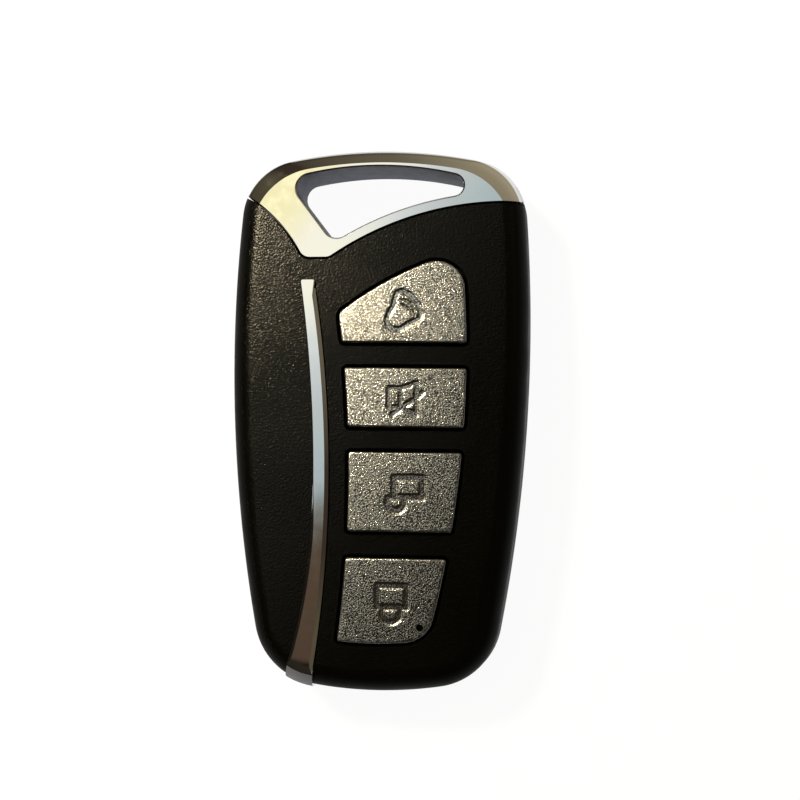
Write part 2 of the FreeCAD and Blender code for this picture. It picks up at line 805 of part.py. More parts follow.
def gull_legs(place, width, rows, lead):
    """Bent leads on both sides of a chip: rows holds (side, y) for each."""
    legs = []
    x, y = place
    for side, row in rows:
        near = x + side * width / 2
        foot = on_board(lead_width, lead_reach, lead_thickness, (near + side * lead_reach / 2, y + row))
        riser = on_board(lead_width, lead_thickness, lead, (near + side * lead_thickness / 2, y + row))
        legs += [foot, riser]
    return legs


def encoder_chip():
    """The code chip, with leads on its two long sides."""
    place = chip_place()
    body = on_board(chip_length, chip_width, chip_height, place, chip_standoff)
    first = -(chip_pin_count - 1) / 2
    rows = [(s, (first + i) * chip_pin_pitch) for i in range(chip_pin_count) for s in (-1, 1)]
    return body.fuse(gull_legs(place, chip_width, rows, chip_height / 2))


def rf_transistor():
    """A small three-lead transistor, which drives the antenna."""
    place = transistor_place()
    body = on_board(transistor_length, transistor_width, transistor_height, place, chip_standoff)
    rows = [(-1, -transistor_lead_row), (-1, transistor_lead_row), (1, 0)]
    return body.fuse(gull_legs(place, transistor_width, rows, transistor_height / 2))


def saw_resonator():
    """The resonator in its square metal can, on a slightly wider ceramic base."""
    place = resonator_place()
    base = on_board(resonator_side, resonator_side, resonator_base, place)
    lid_side = resonator_side - 2 * resonator_step
    return base.fuse(on_board(lid_side, lid_side, resonator_height, place))


def passives(places):
    """Chip parts with raised metal ends, one solid to a part."""
    parts = []
    for place in places:
        body = on_board(passive_length, passive_width, passive_height - passive_step, place)
        x, y = place
        reach = (passive_length - passive_end) / 2
        ends = [on_board(passive_end, passive_width, passive_height, (x, y + s * reach)) for s in (-1, 1)]
        parts.append(body.fuse(ends))
    return Part.Compound(parts)


def indicator_led():
    """The lamp under the lock key's hole: a small block with a round lens."""
    x, y = lamp_place()
    body = on_board(lamp_length, lamp_width, lamp_height, (x, y))
    lens = Part.makeSphere(lamp_lens_radius, Vec(x, y, board_top + lamp_height))
    above = block(x - lamp_width, x + lamp_width, y - lamp_length, y + lamp_length,
                  board_top + lamp_height / 2, body_thickness)
    return body.fuse(lens.common(above))


def antenna_track():
    """The antenna: a flat copper loop along the board's left side, with a gap for its tuning part."""
    high = board_top + track_thickness
    outer = body_prism(side_wall + board_gap + track_edge_gap, board_top, high)
    inner = body_prism(side_wall + board_gap + track_edge_gap + track_width, board_top, high)
    low_y, high_y = top_y - track_below_top - track_length, top_y - track_below_top
    outer = outer.common(block(-far, -track_x, low_y, high_y, 0, body_thickness))
    inner = inner.common(block(-far, -track_x - track_width, low_y + track_width, high_y - track_width,
                               0, body_thickness))
    middle = (low_y + high_y) / 2
    gap = block(-track_x - track_width, -track_x, middle - track_gap / 2, middle + track_gap / 2,
                0, body_thickness)
    return outer.cut([inner, gap])


def coin_cell():
    """The coin cell as it is made: a steel can, a sealing ring and a cap."""
    place = cell_place()
    rim_z = cell_bottom + cell_height - cell_cap_proud
    wall = cell_can_wall
    seal = cell_cap_radius + cell_seal
    can = cylinder(cell_radius, cell_bottom, rim_z, place)
    can = can.makeFillet(cell_edge_round, [e for e in can.Edges if e.BoundBox.ZMax < cell_bottom + 1e-3])
    can = can.cut([cylinder(cell_radius - wall, cell_bottom + wall, rim_z - wall, place),
                   cylinder(seal, cell_bottom + wall, rim_z, place)])
    gasket = cylinder(cell_radius - wall, cell_bottom + wall, rim_z - wall, place)
    gasket = gasket.fuse(cylinder(seal, cell_bottom + wall, rim_z, place))
    gasket = gasket.cut(cylinder(cell_cap_radius, cell_bottom + wall, rim_z, place))
    cap = cylinder(cell_cap_radius, cell_bottom + wall, cell_bottom + cell_height, place)
    cap = cap.makeFillet(cell_edge_round, [e for e in cap.Edges if e.BoundBox.ZMin > rim_z])
    return {"cell_can": can, "cell_gasket": gasket, "cell_cap": cap}


def positive_contact():
    """A sprung strap under the cell, with legs up both sides and feet soldered to the board."""
    x, y = cell_place()
    t = sheet_thickness
    inner = cell_radius + strap_side_gap
    low_y, high_y = y - strap_width / 2, y + strap_width / 2
    strap = block(x - inner - t, x + inner + t, low_y, high_y, strap_bottom, cell_bottom)
    legs = []
    for s in (-1, 1):
        leg = sorted((s * inner, s * (inner + t)))
        foot = sorted((s * inner, s * (inner + strap_foot)))
        legs.append(block(x + leg[0], x + leg[1], low_y, high_y, strap_bottom, board_bottom))
        legs.append(block(x + foot[0], x + foot[1], low_y, high_y, board_bottom - t, board_bottom))
    return strap.fuse(legs).removeSplitter()


def negative_contact():
    """A round spring plate between the cell's cap and the board, slit into fingers."""
    x, y = cell_place()
    plate = cylinder(contact_radius, contact_bottom, board_bottom, (x, y))
    slits = []
    for i in range(contact_fingers):
        slit = block(x, x + contact_radius - contact_rim, y - contact_slit / 2, y + contact_slit / 2,
                     contact_bottom, board_bottom)
        slit.rotate(Vec(x, y, 0), UP, 360 * i / contact_fingers)
        slits.append(slit)
    return plate.cut([cylinder(contact_hole_radius, contact_bottom, board_bottom, (x, y))] + slits)


def case_screws():
    """Four pan-head screws, driven from the rear into the front shell's bosses."""
    screws = []
    low = screw_seat_height - screw_head_height
    for x, y in screw_places():
        head = cylinder(screw_head_radius, low, screw_seat_height, (x, y))
        head = head.makeFillet(screw_head_round, [e for e in head.Edges if e.BoundBox.ZMax < low + 1e-3])
        long, short = screw_cross_length / 2, screw_cross_width / 2
        cross_top = low + screw_cross_depth
        cross = block(x - long, x + long, y - short, y + short, low, cross_top)
        cross = cross.fuse(block(x - short, x + short, y - long, y + long, low, cross_top))
        shank = cylinder(screw_radius, screw_seat_height, screw_tip, (x, y))
        shank = shank.makeChamfer(screw_point, [e for e in shank.Edges if e.BoundBox.ZMin > screw_tip - 1e-3])
        screws.append(head.cut(cross).fuse(shank))
    return Part.Compound(screws)


def all_parts():
    """Every piece by name."""
    keys = key_rows()
    skin = front_skin(0, parting_height)
    channel_floor = front_skin(trim_depth, 0)
    parts = {
        "front_shell": front_shell(skin, channel_floor, keys),
        "rear_shell": rear_shell(),
        "key_loop": key_loop(),
        "trim_strip": trim_strip(channel_floor),
        "switch_terminals": switch_terminals([row[4] for row in keys]),
        "circuit_board": circuit_board(),
        "encoder_chip": encoder_chip(),
        "rf_transistor": rf_transistor(),
        "saw_resonator": saw_resonator(),
        "chip_resistors": passives(resistor_places()),
        "chip_capacitors": passives(capacitor_places()),
        "chip_inductors": passives(inductor_places()),
        "indicator_led": indicator_led(),
        "antenna_track": antenna_track(),
        "positive_contact": positive_contact(),
        "negative_contact": negative_contact(),
        "case_screws": case_screws(),
    }
    parts.update(coin_cell())
    for row in keys:
        parts[row[0] + "_button"] = keycap(row)
        parts.update(switch_parts(row[0], row[4]))
    return parts


def main():
    os.makedirs("parts", exist_ok=True)
    for name, shape in all_parts().items():
        shape.exportStep("parts/" + name + ".step")


if __name__ == "__main__":
    main()
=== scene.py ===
"""Looks of a gate remote control: grained shells, silver keys with engraved signs, bright loop and strip.

Plans are drawn in millimetres, as the solids are. A piece is modelled flat, a thousand times its size so
that the tools' thresholds suit it, laid over the crown of the front face, and then brought to size.
"""

import math
from contextlib import contextmanager
from functools import partial

import bmesh
import bpy
from mathutils import Matrix, Vector


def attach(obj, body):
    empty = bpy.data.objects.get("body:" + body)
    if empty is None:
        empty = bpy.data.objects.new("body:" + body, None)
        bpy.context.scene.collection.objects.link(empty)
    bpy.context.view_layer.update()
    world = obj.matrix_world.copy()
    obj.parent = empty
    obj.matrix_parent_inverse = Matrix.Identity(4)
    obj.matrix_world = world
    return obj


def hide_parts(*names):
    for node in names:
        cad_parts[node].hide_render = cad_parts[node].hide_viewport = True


bl_info = {
    "name": "Gate remote control",
    "version": (1, 0, 0),
    "blender": (4, 5, 0),
    "location": "3D View > Sidebar > Remote",
    "description": "Builds the shells, keys, loop, strip and finishes of a gate remote control",
    "category": "Object",
}

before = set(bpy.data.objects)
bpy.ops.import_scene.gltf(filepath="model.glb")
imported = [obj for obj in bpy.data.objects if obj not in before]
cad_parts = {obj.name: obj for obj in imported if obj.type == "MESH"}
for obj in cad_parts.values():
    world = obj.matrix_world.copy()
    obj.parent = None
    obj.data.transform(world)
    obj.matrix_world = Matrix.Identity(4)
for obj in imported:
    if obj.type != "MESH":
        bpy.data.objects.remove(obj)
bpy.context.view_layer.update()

MM = 0.001

# All sizes below are in millimetres. An arc is its centre's x and y, its radius, and 1, or -1 where the
# plan lies outside its circle.

# Body
HALF_WIDTH = 19.73
TOP_Y = 36.0
THICKNESS = 12.6
PARTING = 6.0
PARTING_CHAMFER = 0.15
CROWN_ALONG = 320.0
CROWN_ACROSS = 160.0
CROWN_FROM = PARTING + 0.2      # the sides follow the crown from here up
FRONT_ROLL = 3.0
REAR_ROLL = 2.6
WALL = 1.5
TOP_RADIUS = 64.0
TOP_CORNER = 8.0
SIDE_RADIUS = 218.0
WIDEST_Y = 11.0
BOTTOM_CORNER = 9.2
BOTTOM = (0, 54.4 - TOP_Y, 54.4, 1)

# Notch where the loop meets the shells
NOTCH_LEFT = (-29.2, 11.45, 21.4, -1)
NOTCH_RIGHT = (17.5, -13.5, 42.3, -1)
NOTCH_GAP = 0.12
SHOWN_NOTCH_GAP = 0.3           # the front shell's, as wide as the line in the photograph
NOTCH_RIM = 0.08
TIP_Y = 21.2
TIP_ROUND = 1.5

# Key ring loop
LOOP_LOW = 0.8
LOOP_REAR_BEVEL = 1.2
LOOP_BEVEL_LOW = 7.0
LOOP_UPPER = (2.1, 1.9, 9.0)    # its upper edge: insets at the top and the sides, and corner radius
# Its shoulder: shares of the way to the upper edge, from the outside, and of the height
SHOULDER = ((0.03, 0.12), (0.08, 0.36), (0.13, 0.56), (0.18, 0.70), (0.23, 0.76), (0.31, 0.80),
            (0.45, 0.85), (0.65, 0.91), (0.96, 0.99), (1.0, 1.0))
WINDOW_TOP = (-0.3, TOP_Y - 48.6, 46.0, 1)
WINDOW_TILT = 37.8              # degrees, from the window's left edge to +Y
WINDOW_LEFT_BAR = 4.0
WINDOW_LOWER_BAR = 1.3
WINDOW_CORNER = 1.9
WINDOW_RIGHT_CORNER = 1.45
WINDOW_RIM = 0.35
WINDOW_REAR_RIM = 0.5
TONGUE_LOW = 4.6
TONGUE_HIGH = 7.6
TONGUE_INSET = 1.8
TONGUE_END = 20.8
TONGUE_GAP = 0.08
POCKET_END = 20.7
POSTS = ((-15.6, 23.6), (4.6, 22.9), (14.8, 23.8))
POST_RADIUS = 1.0
POST_HOLE = 1.1
POST_LAND = 1.8
POST_TOP = 9.1

# Trim strip
WAIST_Y = -9.2
TRIM_RIGHT = (-155.95, WAIST_Y, 150.0, 1)
TRIM_LEFT_X = -8.13             # of its left side at the waist, where two arcs meet
TRIM_LEFT_RADII = (165.0, 85.0) # of those arcs, above and below the waist
TRIM_CORNER = 0.35
TRIM_TOP = 18.2
TRIM_DEPTH = 0.9
TRIM_PROUD = 0.35
TRIM_LOW = 7.55
TRIM_GAP = 0.06

# Keys
KEY_LEFT = (-155.95, WAIST_Y, 152.52, -1)
KEY_RIGHT = (-126.12, 6.5, 138.0, 1)
KEY_CORNER = 0.45
KEY_GAP = 0.38                  # 0.1 more than the solids', as the photograph shows it
KEY_PROUD = 0.4
KEY_ROUND = 0.3
KEY_WALL = 0.9
KEY_ROOF = 1.1
KEY_CROWN_FROM = 9.0            # above the nibs' ends, which stay flat
FLANGE_REACH = 0.98
FLANGE_TOP = 11.0
FLANGE_LOW = 10.2
NIBS = {"alarm": (4.6, 13.62), "horn": (4.2, 2.4), "unlock": (3.9, -9.85), "lock": (1.3, -23.25)}
NIB_RADIUS = 1.3
PLUNGER_TOP = 8.1
LAMP = (6.15, -27.4)
LAMP_RADIUS = 0.45
LAMP_RIM = 0.12
GROOVE_SLOPE = 0.13             # half the width of a groove's sloping side

# Screws and the columns that they stand in
SCREWS = ((-11.56, -28.3), (11.56, -28.3), (-15.12, 13.2), (15.12, 13.2))
HEAD_RECESS = 1.7
RECESS_RIM = 0.15
SEAT = 1.2
SHANK_HOLE = 0.9
COLUMN_RADIUS = 2.6
BOARD_LOW = 5.6

# Heights of a tool that lie clear of the piece it cuts, as those in whole millimetres further down do
BELOW = 0.5
ABOVE = 15.0

# Camera
FRAME_PX = 800
FOCAL_PX = 1865
SHIFT_PX = 19.2
SENSOR = 36
CAMERA_AWAY = 250
CAMERA_AIM_Z = 6.5


def linear(code):
    """The linear colour of an sRGB hex value."""
    parts = [int(code[i:i + 2], 16) / 255 for i in (1, 3, 5)]
    return [p / 12.92 if p <= 0.04045 else ((p + 0.055) / 1.055) ** 2.4 for p in parts]


def length_property(name, description, size, low=0.0):
    """A length whose default and lowest value are given in millimetres."""
    return bpy.props.FloatProperty(name=name, description=description, default=size * MM,
                                   min=low * MM, unit="LENGTH", precision=5)


class RemoteSizes(bpy.types.PropertyGroup):
    opening_rim: length_property("Opening rim", "Radius of the shell's edge round each key", 0.16)
    groove_width: length_property("Groove width", "Width of the signs' wide grooves", 0.92)
    groove_depth: length_property("Groove depth", "Depth of the signs' grooves", 0.12)
    sign_pitch: length_property("Sign mesh", "Pitch of the mesh that carries a sign", 0.085, 0.05)
    crown_pitch: length_property("Crown mesh", "Pitch of the mesh that follows the crown", 2.0, 0.5)
    shell_grain: length_property("Shell grain", "Grain spacing of the black shells", 0.26)
    key_grain: length_property("Key grain", "Grain spacing under the silver lacquer", 0.20)


def colour_property(name, description, code):
    """A colour whose default is given as an sRGB hex value."""
    return bpy.props.FloatVectorProperty(name=name, description=description, subtype="COLOR",
                                         default=linear(code), min=0.0, max=1.0)


class RemoteColours(bpy.types.PropertyGroup):
    shell: colour_property("Shell", "Black plastic of the two shells", "#030302")
    key: colour_property("Key", "Silver lacquer of the keys", "#959593")
    bright: colour_property("Bright", "Plating of the loop and the strip", "#CDCED1")
    board: colour_property("Board", "Solder mask of the board", "#1F6A41")
    floor: colour_property("Floor", "Pale floor", "#FAFAFA")


# Plans: loops of points with their outward directions

def moved(arc, by):
    """The arc moved outwards, as seen from inside the loop."""
    cx, cy, radius, side = arc
    return cx, cy, radius + side * by, side


def straight(x, y, nx, ny):
    """A line through a point with its outward direction, drawn as a very large arc."""
    size = math.hypot(nx, ny)
    reach = 1e5
    return x - nx / size * reach, y - ny / size * reach, reach, 1


def on_arc(arc, point):
    """The place on an arc's circle that is nearest to a point."""
    cx, cy, radius, _ = arc
    scale = radius / math.hypot(point[0] - cx, point[1] - cy)
    return cx + (point[0] - cx) * scale, cy + (point[1] - cy) * scale


def meet(first, second, near):
    """The crossing of two arcs' circles that is nearest to a point."""
    (ax, ay, ra, _), (bx, by, rb, _) = first, second
    apart = math.hypot(bx - ax, by - ay)
    along = (ra * ra - rb * rb + apart * apart) / (2 * apart)
    off = math.sqrt(max(ra * ra - along * along, 0.0))
    ux, uy = (bx - ax) / apart, (by - ay) / apart
    found = [(ax + ux * along - s * uy * off, ay + uy * along + s * ux * off) for s in (-1, 1)]
    return min(found, key=lambda p: math.dist(p, near))


def arc_points(arc, start, end, count):
    """Points from start up to, but without, end, each with its outward direction."""
    cx, cy, radius, side = arc
    first = math.atan2(start[1] - cy, start[0] - cx)
    turn = math.atan2(end[1] - cy, end[0] - cx) - first
    turn = (turn + math.pi) % math.tau - math.pi
    found = []
    for i in range(count):
        dx, dy = math.cos(first + turn * i / count), math.sin(first + turn * i / count)
        found.append((cx + radius * dx, cy + radius * dy, side * dx, side * dy))
    return found


def plan(sides, corners):
    """A closed loop of (arc, points) sides, each followed by its (rough place, radius, points) corner."""
    rounds = []
    for i, (near, radius, _) in enumerate(corners):
        first, second = sides[i][0], sides[(i + 1) % len(sides)][0]
        centre = meet(moved(first, -radius), moved(second, -radius), near)
        rounds.append((centre, on_arc(first, centre), on_arc(second, centre)))
    loop = []
    for i, (arc, count) in enumerate(sides):
        centre, leave, arrive = rounds[i]
        loop += arc_points(arc, rounds[i - 1][2], leave, count)
        loop += arc_points((*centre, corners[i][1], 1), leave, arrive, corners[i][2])
    return loop


def ring(loop, grow, z):
    """A plan's points at a height, moved outwards."""
    return [(x + nx * grow, y + ny * grow, z) for x, y, nx, ny in loop]


def circle_plan(place, radius, count):
    turns = [math.tau * i / count for i in range(count)]
    return [(place[0] + radius * math.cos(t), place[1] + radius * math.sin(t), math.cos(t), math.sin(t))
            for t in turns]


def body_plan(top_inset=0.0, side_inset=0.0, top_corner=TOP_CORNER):
    """The body's outline, which the loop shares."""
    top = (0, TOP_Y - TOP_RADIUS, TOP_RADIUS - top_inset, 1)
    right, left = ((way * (HALF_WIDTH - SIDE_RADIUS), WIDEST_Y, SIDE_RADIUS - side_inset, 1)
                   for way in (1, -1))
    corners = [((12, 27), top_corner, 24), ((10, -26), BOTTOM_CORNER, 24),
               ((-10, -26), BOTTOM_CORNER, 24), ((-12, 27), top_corner, 24)]
    return plan([(top, 40), (right, 40), (BOTTOM, 36), (left, 40)], corners)


def notch_plan(grow=0.0):
    """The loop's side of the line where it meets the shells, closed far outside the body."""
    reach = 2 * HALF_WIDTH
    sides = [(moved(NOTCH_LEFT, grow), 60), (straight(0, TIP_Y - grow, 0, -1), 3),
             (moved(NOTCH_RIGHT, grow), 90), (straight(reach, 0, 1, 0), 2), (straight(0, 60, 0, 1), 2),
             (straight(NOTCH_LEFT[0], 0, -1, 0), 2)]
    tip = TIP_ROUND + grow
    corners = [((-9.0, 22.5), tip, 10), ((-7.9, 22.5), tip, 10), ((reach - 1, 24), 0.5, 3),
               ((reach - 1, 59), 0.5, 3), ((-28, 59), 0.5, 3), ((-28.5, 33.5), 0.5, 3)]
    return plan(sides, corners)


def window_plan():
    """The loop's window: crowned on top, hollow below and straight at the left."""
    tilt = math.radians(WINDOW_TILT)
    away = (math.cos(tilt), math.sin(tilt))
    reach = NOTCH_LEFT[2] + WINDOW_LEFT_BAR
    foot = (NOTCH_LEFT[0] + reach * away[0], NOTCH_LEFT[1] + reach * away[1])
    sides = [(WINDOW_TOP, 48), (moved(NOTCH_RIGHT, -WINDOW_LOWER_BAR), 40),
             (straight(*foot, -away[0], -away[1]), 16)]
    return plan(sides, [((10.5, 31), WINDOW_RIGHT_CORNER, 14), ((-5.0, 25.5), WINDOW_CORNER, 14),
                        ((-11.5, 32), WINDOW_CORNER, 14)])


def trim_plan(grow=0.0):
    """The strip, drawn on past the bottom edge."""
    upper, lower = ((TRIM_LEFT_X - grow - radius, WAIST_Y, radius, -1) for radius in TRIM_LEFT_RADII)
    high, low = straight(0, TRIM_TOP + grow, 0, 1), straight(0, -TOP_Y - 3, 0, -1)
    corner = TRIM_CORNER + grow
    corners = [((-8.6, 17.8), corner, 6), ((-9.5, -38), 0.1, 1), ((-14.0, -38), 0.1, 1),
               ((TRIM_LEFT_X, WAIST_Y), 0.0, 0), ((-10.2, 17.8), corner, 6)]
    return plan([(high, 3), (moved(TRIM_RIGHT, grow), 60), (low, 3), (lower, 28), (upper, 34)], corners)


def smooth(share):
    """A share between 0 and 1 that starts and ends gently."""
    share = max(0.0, min(1.0, share))
    return share * share * (3 - 2 * share)


def trim_ring(z, right, left, lower_left, lift=0.0):
    """The strip's plan at a height, drawn in by a right bevel and a left one, which is wider low down.

    The right bevel starts below the strip's top end. The left one widens between y = -8 and y = -17 by
    lower_left, and keeps its slope: lift is how much higher its lower edge lies where it isn't wider.
    """
    points = []
    for x, y, nx, ny in trim_plan():
        into, high = left, z
        if nx > 0.5:
            into += (right - left) * smooth((TRIM_TOP - 0.4 - y) / 1.6)
        elif nx < -0.5:
            share = smooth((-8 - y) / 9)
            into += lower_left * share
            high += lift * (1 - share)
        points.append((x - nx * into, y - ny * into, high))
    return points


def bow(start, end, rise):
    """The arc through two points that bows upwards between them."""
    chord = math.dist(start, end)
    nx, ny = -(end[1] - start[1]) / chord, (end[0] - start[0]) / chord
    radius = (chord * chord / 4 + rise * rise) / (2 * rise)
    back = radius - rise
    return (start[0] + end[0]) / 2 - nx * back, (start[1] + end[1]) / 2 - ny * back, radius, 1


def key_plan(low, high, radii, grow=0.0):
    """A key's plan, moved outwards; its rows are arcs, its radii go round from the lower left corner."""
    low, high, left, right = (moved(arc, grow) for arc in (low, high, KEY_LEFT, KEY_RIGHT))
    radii = [max(radius + grow, 0.3) for radius in radii]
    sides = [(low, 14), (left, 12), (high, 16), (right, 12)]
    corners = []
    for i, radius in enumerate(radii):
        first, second = sides[i][0], sides[(i + 1) % 4][0]
        near_x = -4.5 if i < 2 else 11.0        # roughly the keys' left and right ends
        crossings = (meet(first, second, (near_x, y)) for y in (-60, 60))
        place = min(crossings, key=lambda p: abs(p[0] - near_x))
        corners.append((place, radius, max(6, round(radius * 7))))
    return plan(sides, corners)


def key_plans(grow=0.0):
    """The keys' plans by name, moved outwards; lines are their straight lower and upper rows by y."""
    slope = bow((-5.14, 13.6), (10.99, 21.95), 0.95)
    lock_low = moved(BOTTOM, -6.35)
    lines = {y: straight(0, y, 0, way) for y, way in
             ((9.72, -1), (-1.4, -1), (6.45, 1), (-15.05, -1), (-4.6, 1), (-18.45, 1))}
    plain = (KEY_CORNER,) * 4
    return {
        "alarm": key_plan(lines[9.72], slope, (KEY_CORNER, 1.2, 3.8, KEY_CORNER), grow),
        "horn": key_plan(lines[-1.4], lines[6.45], plain, grow),
        "unlock": key_plan(lines[-15.05], lines[-4.6], plain, grow),
        "lock": key_plan(lock_low, lines[-18.45], (*plain[:3], 4.2), grow),
    }


def drop(x, y):
    """How far the crowned front face lies under its highest point."""
    along = CROWN_ALONG - math.sqrt(CROWN_ALONG ** 2 - y * y)
    across = CROWN_ACROSS - along
    return CROWN_ACROSS - math.sqrt(across * across - x * x)


# Modelling steps

def only(piece):
    """Leaves one object selected and active."""
    bpy.ops.object.select_all(action="DESELECT")
    piece.select_set(True)
    bpy.context.view_layer.objects.active = piece


def stacked(name, rings):
    """A closed block whose side runs through rings that have the same number of points."""
    bpy.ops.object.select_all(action="DESELECT")
    bpy.ops.mesh.primitive_circle_add(vertices=len(rings[0]), fill_type="NGON")
    piece = bpy.context.object
    piece.name = name
    order = piece.data.attributes.new("order", "INT", "POINT")
    order.data.foreach_set("value", range(len(rings[0])))
    piece.data.vertices.foreach_set("co", [c for point in rings[0] for c in point])
    bpy.ops.object.mode_set(mode="EDIT")
    bpy.ops.mesh.select_all(action="SELECT")
    for points in rings[1:]:
        bpy.ops.mesh.extrude_region_move()
        mesh = bmesh.from_edit_mesh(piece.data)
        turn = mesh.verts.layers.int["order"]
        for vertex in mesh.verts:
            if vertex.select:
                vertex.co = points[vertex[turn]]
        bmesh.update_edit_mesh(piece.data)
    bpy.ops.mesh.select_all(action="SELECT")
    bpy.ops.mesh.normals_make_consistent(inside=False)
    bpy.ops.object.mode_set(mode="OBJECT")
    piece.data.attributes.remove(piece.data.attributes["order"])
    return piece


def joined(piece, tool, way="DIFFERENCE"):
    """Cuts the tool from the piece, or adds it or keeps what they share."""
    modifier = piece.modifiers.new("tool", "BOOLEAN")
    modifier.operation, modifier.solver, modifier.object = way, "EXACT", tool
    only(piece)
    bpy.ops.object.modifier_apply(modifier=modifier.name)
    bpy.data.objects.remove(tool)
    return piece


def rounding(radius, flat_z, toward, steps):
    """(move, z) levels of a rounded edge, from the wall to the face at flat_z."""
    turns = [math.pi / 2 * i / steps for i in range(steps + 1)]
    return [(-radius * (1 - math.cos(t)), flat_z - toward * radius * (1 - math.sin(t))) for t in turns]


def rim_levels(flat_z, toward, rim):
    """(move, z) levels of a cutter that leaves a rounded rim, and passes the face at flat_z steeply."""
    turns = [math.radians(t) for t in (0, 15, 30, 45)]
    levels = [(rim * (1 - math.cos(t)), flat_z - toward * rim * (1 - math.sin(t))) for t in turns]
    return levels + [(levels[-1][0] + rim * 0.5, flat_z + toward * rim * 0.16)]


def block(name, loop, levels):
    """A block over a plan, through (move, z) levels."""
    return stacked(name, [ring(loop, grow, z) for grow, z in levels])


def rod(place, radius, count, low, high):
    """A round tool."""
    return block("rod", circle_plan(place, radius, count), [(0, low), (0, high)])


def room_block(low, high):
    """The room inside a shell's walls, as a tool."""
    room = block("room", body_plan(), [(-WALL, low), (-WALL, high)])
    return joined(room, block("wall", notch_plan(NOTCH_GAP + WALL), [(0, BELOW), (0, ABOVE)]))


def tongue_block(grow, end_y, low, high):
    """The loop's tongue, as a piece or a tool: the body's upper end, drawn in by its inset."""
    tongue = block("tongue", body_plan(), [(grow - TONGUE_INSET, low), (grow - TONGUE_INSET, high)])
    corners = [(-30, end_y, 0, 0), (30, end_y, 0, 0), (30, 50, 0, 0), (-30, 50, 0, 0)]
    return joined(tongue, block("keep", corners, [(0, 0), (0, 20)]), "INTERSECT")


def skin(name, grow, low_z):
    """The front half's outside as a flat block, moved outwards by grow."""
    centre_z, radius = THICKNESS - FRONT_ROLL, FRONT_ROLL + grow
    levels = [(grow, low_z)]
    for i in range(10):
        turn = math.pi / 18 * i
        levels.append((radius * math.cos(turn) - FRONT_ROLL, centre_z + radius * math.sin(turn)))
    return block(name, body_plan(), levels)


def sliced(piece, axis, at, chosen):
    """Cuts the chosen faces of a piece in edit mode where they pass a plane across an axis."""
    bpy.ops.mesh.select_all(action="DESELECT")
    mesh = bmesh.from_edit_mesh(piece.data)
    for face in mesh.faces:
        if chosen(face.normal, face.calc_center_median()):
            face.select_set(True)
    bmesh.update_edit_mesh(piece.data)
    point, away = [0, 0, 0], [0, 0, 0]
    point[axis], away[axis] = at, 1
    bpy.ops.mesh.bisect(plane_co=point, plane_no=away, threshold=1e-5)


@contextmanager
def editing(piece, kind):
    """Edit mode on one piece, with faces or edges to be selected."""
    only(piece)
    bpy.ops.object.mode_set(mode="EDIT")
    bpy.ops.mesh.select_mode(type=kind)
    yield
    bpy.ops.mesh.select_mode(type="VERT")
    bpy.ops.object.mode_set(mode="OBJECT")


def gridded(piece, pitch, box=((0, 0), (0, 0))):
    """Cuts the flat faces along a grid, so that they can follow the crown, but leaves a box whole."""
    only(piece)
    corners = [Vector(c) for c in piece.bound_box]

    def outside(normal, middle):
        return abs(normal.z) > 0.99 and not all(box[0][k] < middle[k] < box[1][k] for k in (0, 1))

    with editing(piece, "FACE"):
        for axis in (0, 1):
            low, high = min(c[axis] for c in corners), max(c[axis] for c in corners)
            count = int((high - low) / pitch)
            for i in range(1, count + 1):
                sliced(piece, axis, low + (high - low) * i / (count + 1), outside)


def walls(piece, plans, reach=0.6, steep=0.3, anywhere=0.0):
    """The numbers of a piece's steep faces near a plan, and of its steeper ones anywhere.

    Both limits are the upward part of a face's normal: 0 is a wall and 1 is flat.
    """
    points = [p[:2] for loop in plans for p in loop]
    found = []
    for face in piece.data.polygons:
        up = abs(face.normal.z)
        if up < anywhere or up < steep and min(math.dist(face.center[:2], p) for p in points) < reach:
            found.append(face.index)
    return found


def noted(piece, name, shares):
    """Notes shares, by face number, as a face attribute for the piece's material."""
    note = piece.data.attributes.new(name, "FLOAT", "FACE")
    for index, share in shares.items():
        note.data[index].value = share


def creased(piece):
    """Keeps the edges that are sharp now, by 20 degrees or more, sharp to the end."""
    with editing(piece, "EDGE"):
        bpy.ops.mesh.select_all(action="DESELECT")
        bpy.ops.mesh.edges_select_sharp(sharpness=math.radians(20))
        bpy.ops.mesh.mark_sharp()


def crowned(piece, low, high):
    """Lays the flat top over the crown: fully above height high, not at all below height low."""
    for vertex in piece.data.vertices:
        share = min(1.0, max(0.0, (vertex.co.z - low) / (high - low)))
        vertex.co.z -= drop(vertex.co.x, vertex.co.y) * share


def finished(piece, body, material, nodes, edge=18):
    """Brings a piece to size, smooths it up to an edge angle and gives it its place in the model."""
    only(piece)
    bpy.ops.transform.resize(value=(MM, MM, MM), center_override=(0, 0, 0))
    bpy.ops.object.transform_apply(location=True, rotation=True, scale=True)
    bpy.ops.object.shade_smooth_by_angle(angle=math.radians(edge))
    modifier = piece.modifiers.new("normals", "WEIGHTED_NORMAL")
    modifier.keep_sharp = True
    bpy.ops.object.modifier_apply(modifier=modifier.name)
    piece.data.materials.clear()
    piece.data.materials.append(material)
    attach(piece, body)
    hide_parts(*nodes)


def faced(piece, material, faces):
    """Gives some of a finished piece's faces a second material."""
    piece.data.materials.append(material)
    for index in faces:
        piece.data.polygons[index].material_index = 1


# Materials

def feed(node, sockets):
    """Sets a node's inputs to values or links them to outputs; a node stands for its first output."""
    for name, value in sockets.items():
        if isinstance(value, bpy.types.Node):
            value = value.outputs[0]
        if isinstance(value, bpy.types.NodeSocket):
            node.id_data.links.new(value, node.inputs[name])
        else:
            node.inputs[name].default_value = value


